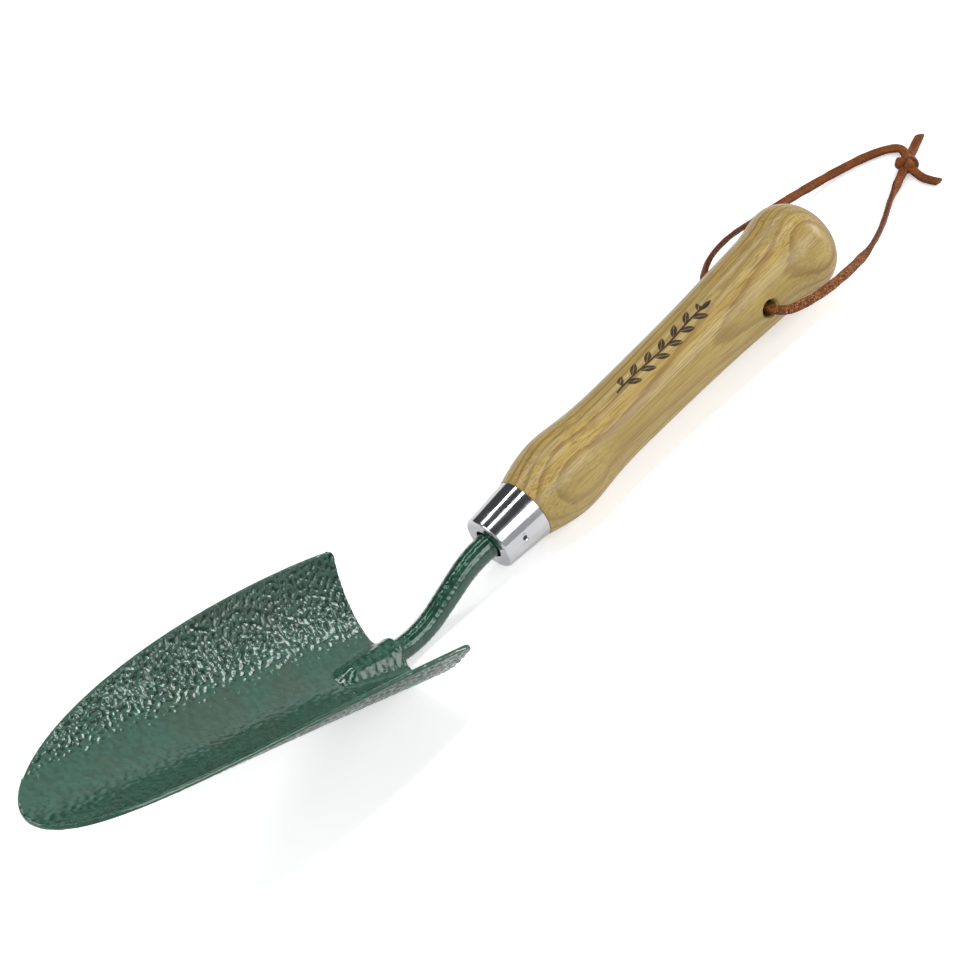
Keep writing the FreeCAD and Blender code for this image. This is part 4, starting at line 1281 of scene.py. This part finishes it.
class TROWEL_OT_stage(Operator):
    """Set out the pale floor, the soft lights, the sky and the camera"""
    bl_idname = "trowel.stage"
    bl_label = "Stage"

    def execute(self, context):
        s, scene = settings("stage"), context.scene
        scene.view_settings.view_transform = "Standard"
        half_floor, below, tiles = 4.0, -0.0002, 8
        side = np.linspace(-half_floor, half_floor, tiles + 1)
        x, y = np.meshgrid(side, side)
        points = np.stack([x.ravel(), y.ravel(), np.full(x.size, below)], -1)
        row = np.arange(tiles)[:, None] * (tiles + 1) + np.arange(tiles)[None, :]
        quads = np.stack([row, row + 1, row + tiles + 2, row + tiles + 1], -1).reshape(-1, 4)
        floor = bpy.data.objects.new("floor", mesh_of("floor", points, quads, np.zeros((0, 3), int)))
        scene.collection.objects.link(floor)
        material, tree, shader, place = new_material("floor_white")
        cloud = noise(tree, place, 3.0).ramp(0.3, 0.7)
        tone = mixed(tree, cloud, full(s.floor_colour), full(s.floor_colour, 0.985))
        seen = Number(tree, node(tree, "LightPath").outputs["Is Camera Ray"])
        dress(tree, shader, {"Base Color": tone, "Roughness": 0.9, "Specular IOR Level": 0.15,
                             "Emission Color": (1.0, 1.0, 1.0, 1.0), "Emission Strength": seen * s.floor_glow})
        floor.data.materials.append(material)

        world = bpy.data.worlds.new("studio")
        scene.world = world
        world.use_nodes = True
        tree = world.node_tree
        tree.nodes.clear()
        way = node(tree, "SeparateXYZ", {"Vector": node(tree, "TexCoord").outputs["Generated"]})
        ahead, aside, height = (Number(tree, way.outputs[k]) for k in range(3))
        level = height.math("ARCTAN2", aside).ramp(2.0, 2.3, 0.08, 0.50)
        for glow in (ahead.ramp(0.50, 0.72, 0.0, 0.80), ahead.ramp(-0.80, -0.45, 0.62, 0.0),
                     height.ramp(-0.02, 0.06, 0.65, 0.0)):
            level = level.math("MAXIMUM", glow)
        sky = node(tree, "Background", {"Color": (0.97, 0.985, 1.0, 1.0), "Strength": level})
        tree.links.new(sky.outputs[0], node(tree, "OutputWorld").inputs["Surface"])

        aim = Vector(s.camera_aim)
        lamps = [("front_light", (0.25, -1.25, 1.05), (1.5, 0.75), 11.5, (1.0, 1.0, 0.99)),
                 ("top_light", (0.1, 0.12, 1.6), (1.5, 0.16), 6.5, (1.0, 1.0, 1.0)),
                 ("back_light", (0.1, 0.95, 1.25), (1.5, 0.14), 6.0, (1.0, 1.0, 1.0)),
                 ("end_light", (1.25, -0.42, 0.42), (0.45, 0.40), 4.2, (1.0, 1.0, 1.0)),
                 ("side_light", (-1.35, 0.5, 0.9), (0.7, 0.9), 5.5, (1.0, 1.0, 1.0))]
        for name, spot, (width, height), power, colour in lamps:
            lamp = bpy.data.lights.new(name, "AREA")
            lamp.shape, lamp.size, lamp.size_y = "RECTANGLE", width, height
            lamp.energy, lamp.color = power, colour
            holder = bpy.data.objects.new(name, lamp)
            back = (Vector(spot) - aim).normalized()
            along = Vector((1.0, 0.0, 0.0)) if abs(back.x) < 0.6 else Vector((0.0, 1.0, 0.0))
            rise = back.cross(along).normalized()
            along = rise.cross(back)
            turn = Matrix((along, rise, back)).transposed().to_4x4()
            holder.matrix_world = Matrix.Translation(spot) @ turn
            scene.collection.objects.link(holder)

        lens = bpy.data.cameras.new("camera")
        lens.lens, lens.sensor_width = s.lens, 36.0
        lens.clip_start, lens.clip_end = 0.02, 50.0
        camera = bpy.data.objects.new("camera", lens)
        place = Vector(s.camera_place)
        looking = (place - aim).to_track_quat("Z", "Y").to_matrix().to_4x4()
        camera.matrix_world = Matrix.Translation(place) @ looking @ Matrix.Rotation(s.camera_roll, 4, "Z")
        scene.collection.objects.link(camera)
        scene.camera = camera
        return {"FINISHED"}


PIECES = [TROWEL_OT_blade, TROWEL_OT_tang, TROWEL_OT_ferrule, TROWEL_OT_handle, TROWEL_OT_thong,
          TROWEL_OT_stage]


class TROWEL_PT_sidebar(Panel):
    """Lists the trowel's sizes and colours with a button for each piece"""
    bl_idname = "TROWEL_PT_sidebar"
    bl_label = "Hand trowel"
    bl_space_type = "VIEW_3D"
    bl_region_type = "UI"
    bl_category = "Trowel"

    def draw(self, context):
        for piece, name in zip(PIECES, SETTINGS):
            box = self.layout.box()
            box.operator(piece.bl_idname)
            for key in getattr(context.scene, "trowel_" + name).bl_rna.properties.keys():
                if key not in ("rna_type", "name"):
                    box.prop(getattr(context.scene, "trowel_" + name), key)


def register():
    for name, kind in SETTINGS.items():
        bpy.utils.register_class(kind)
        setattr(bpy.types.Scene, "trowel_" + name, PointerProperty(type=kind))
    for kind in PIECES + [TROWEL_PT_sidebar]:
        bpy.utils.register_class(kind)


def unregister():
    for kind in reversed(PIECES + [TROWEL_PT_sidebar]):
        bpy.utils.unregister_class(kind)
    for name, kind in reversed(SETTINGS.items()):
        delattr(bpy.types.Scene, "trowel_" + name)
        bpy.utils.unregister_class(kind)


def main():
    register()
    for step in ("stage", "blade", "tang", "ferrule", "handle", "thong"):
        getattr(bpy.ops.trowel, step)()


if __name__ == "__main__":
    main()
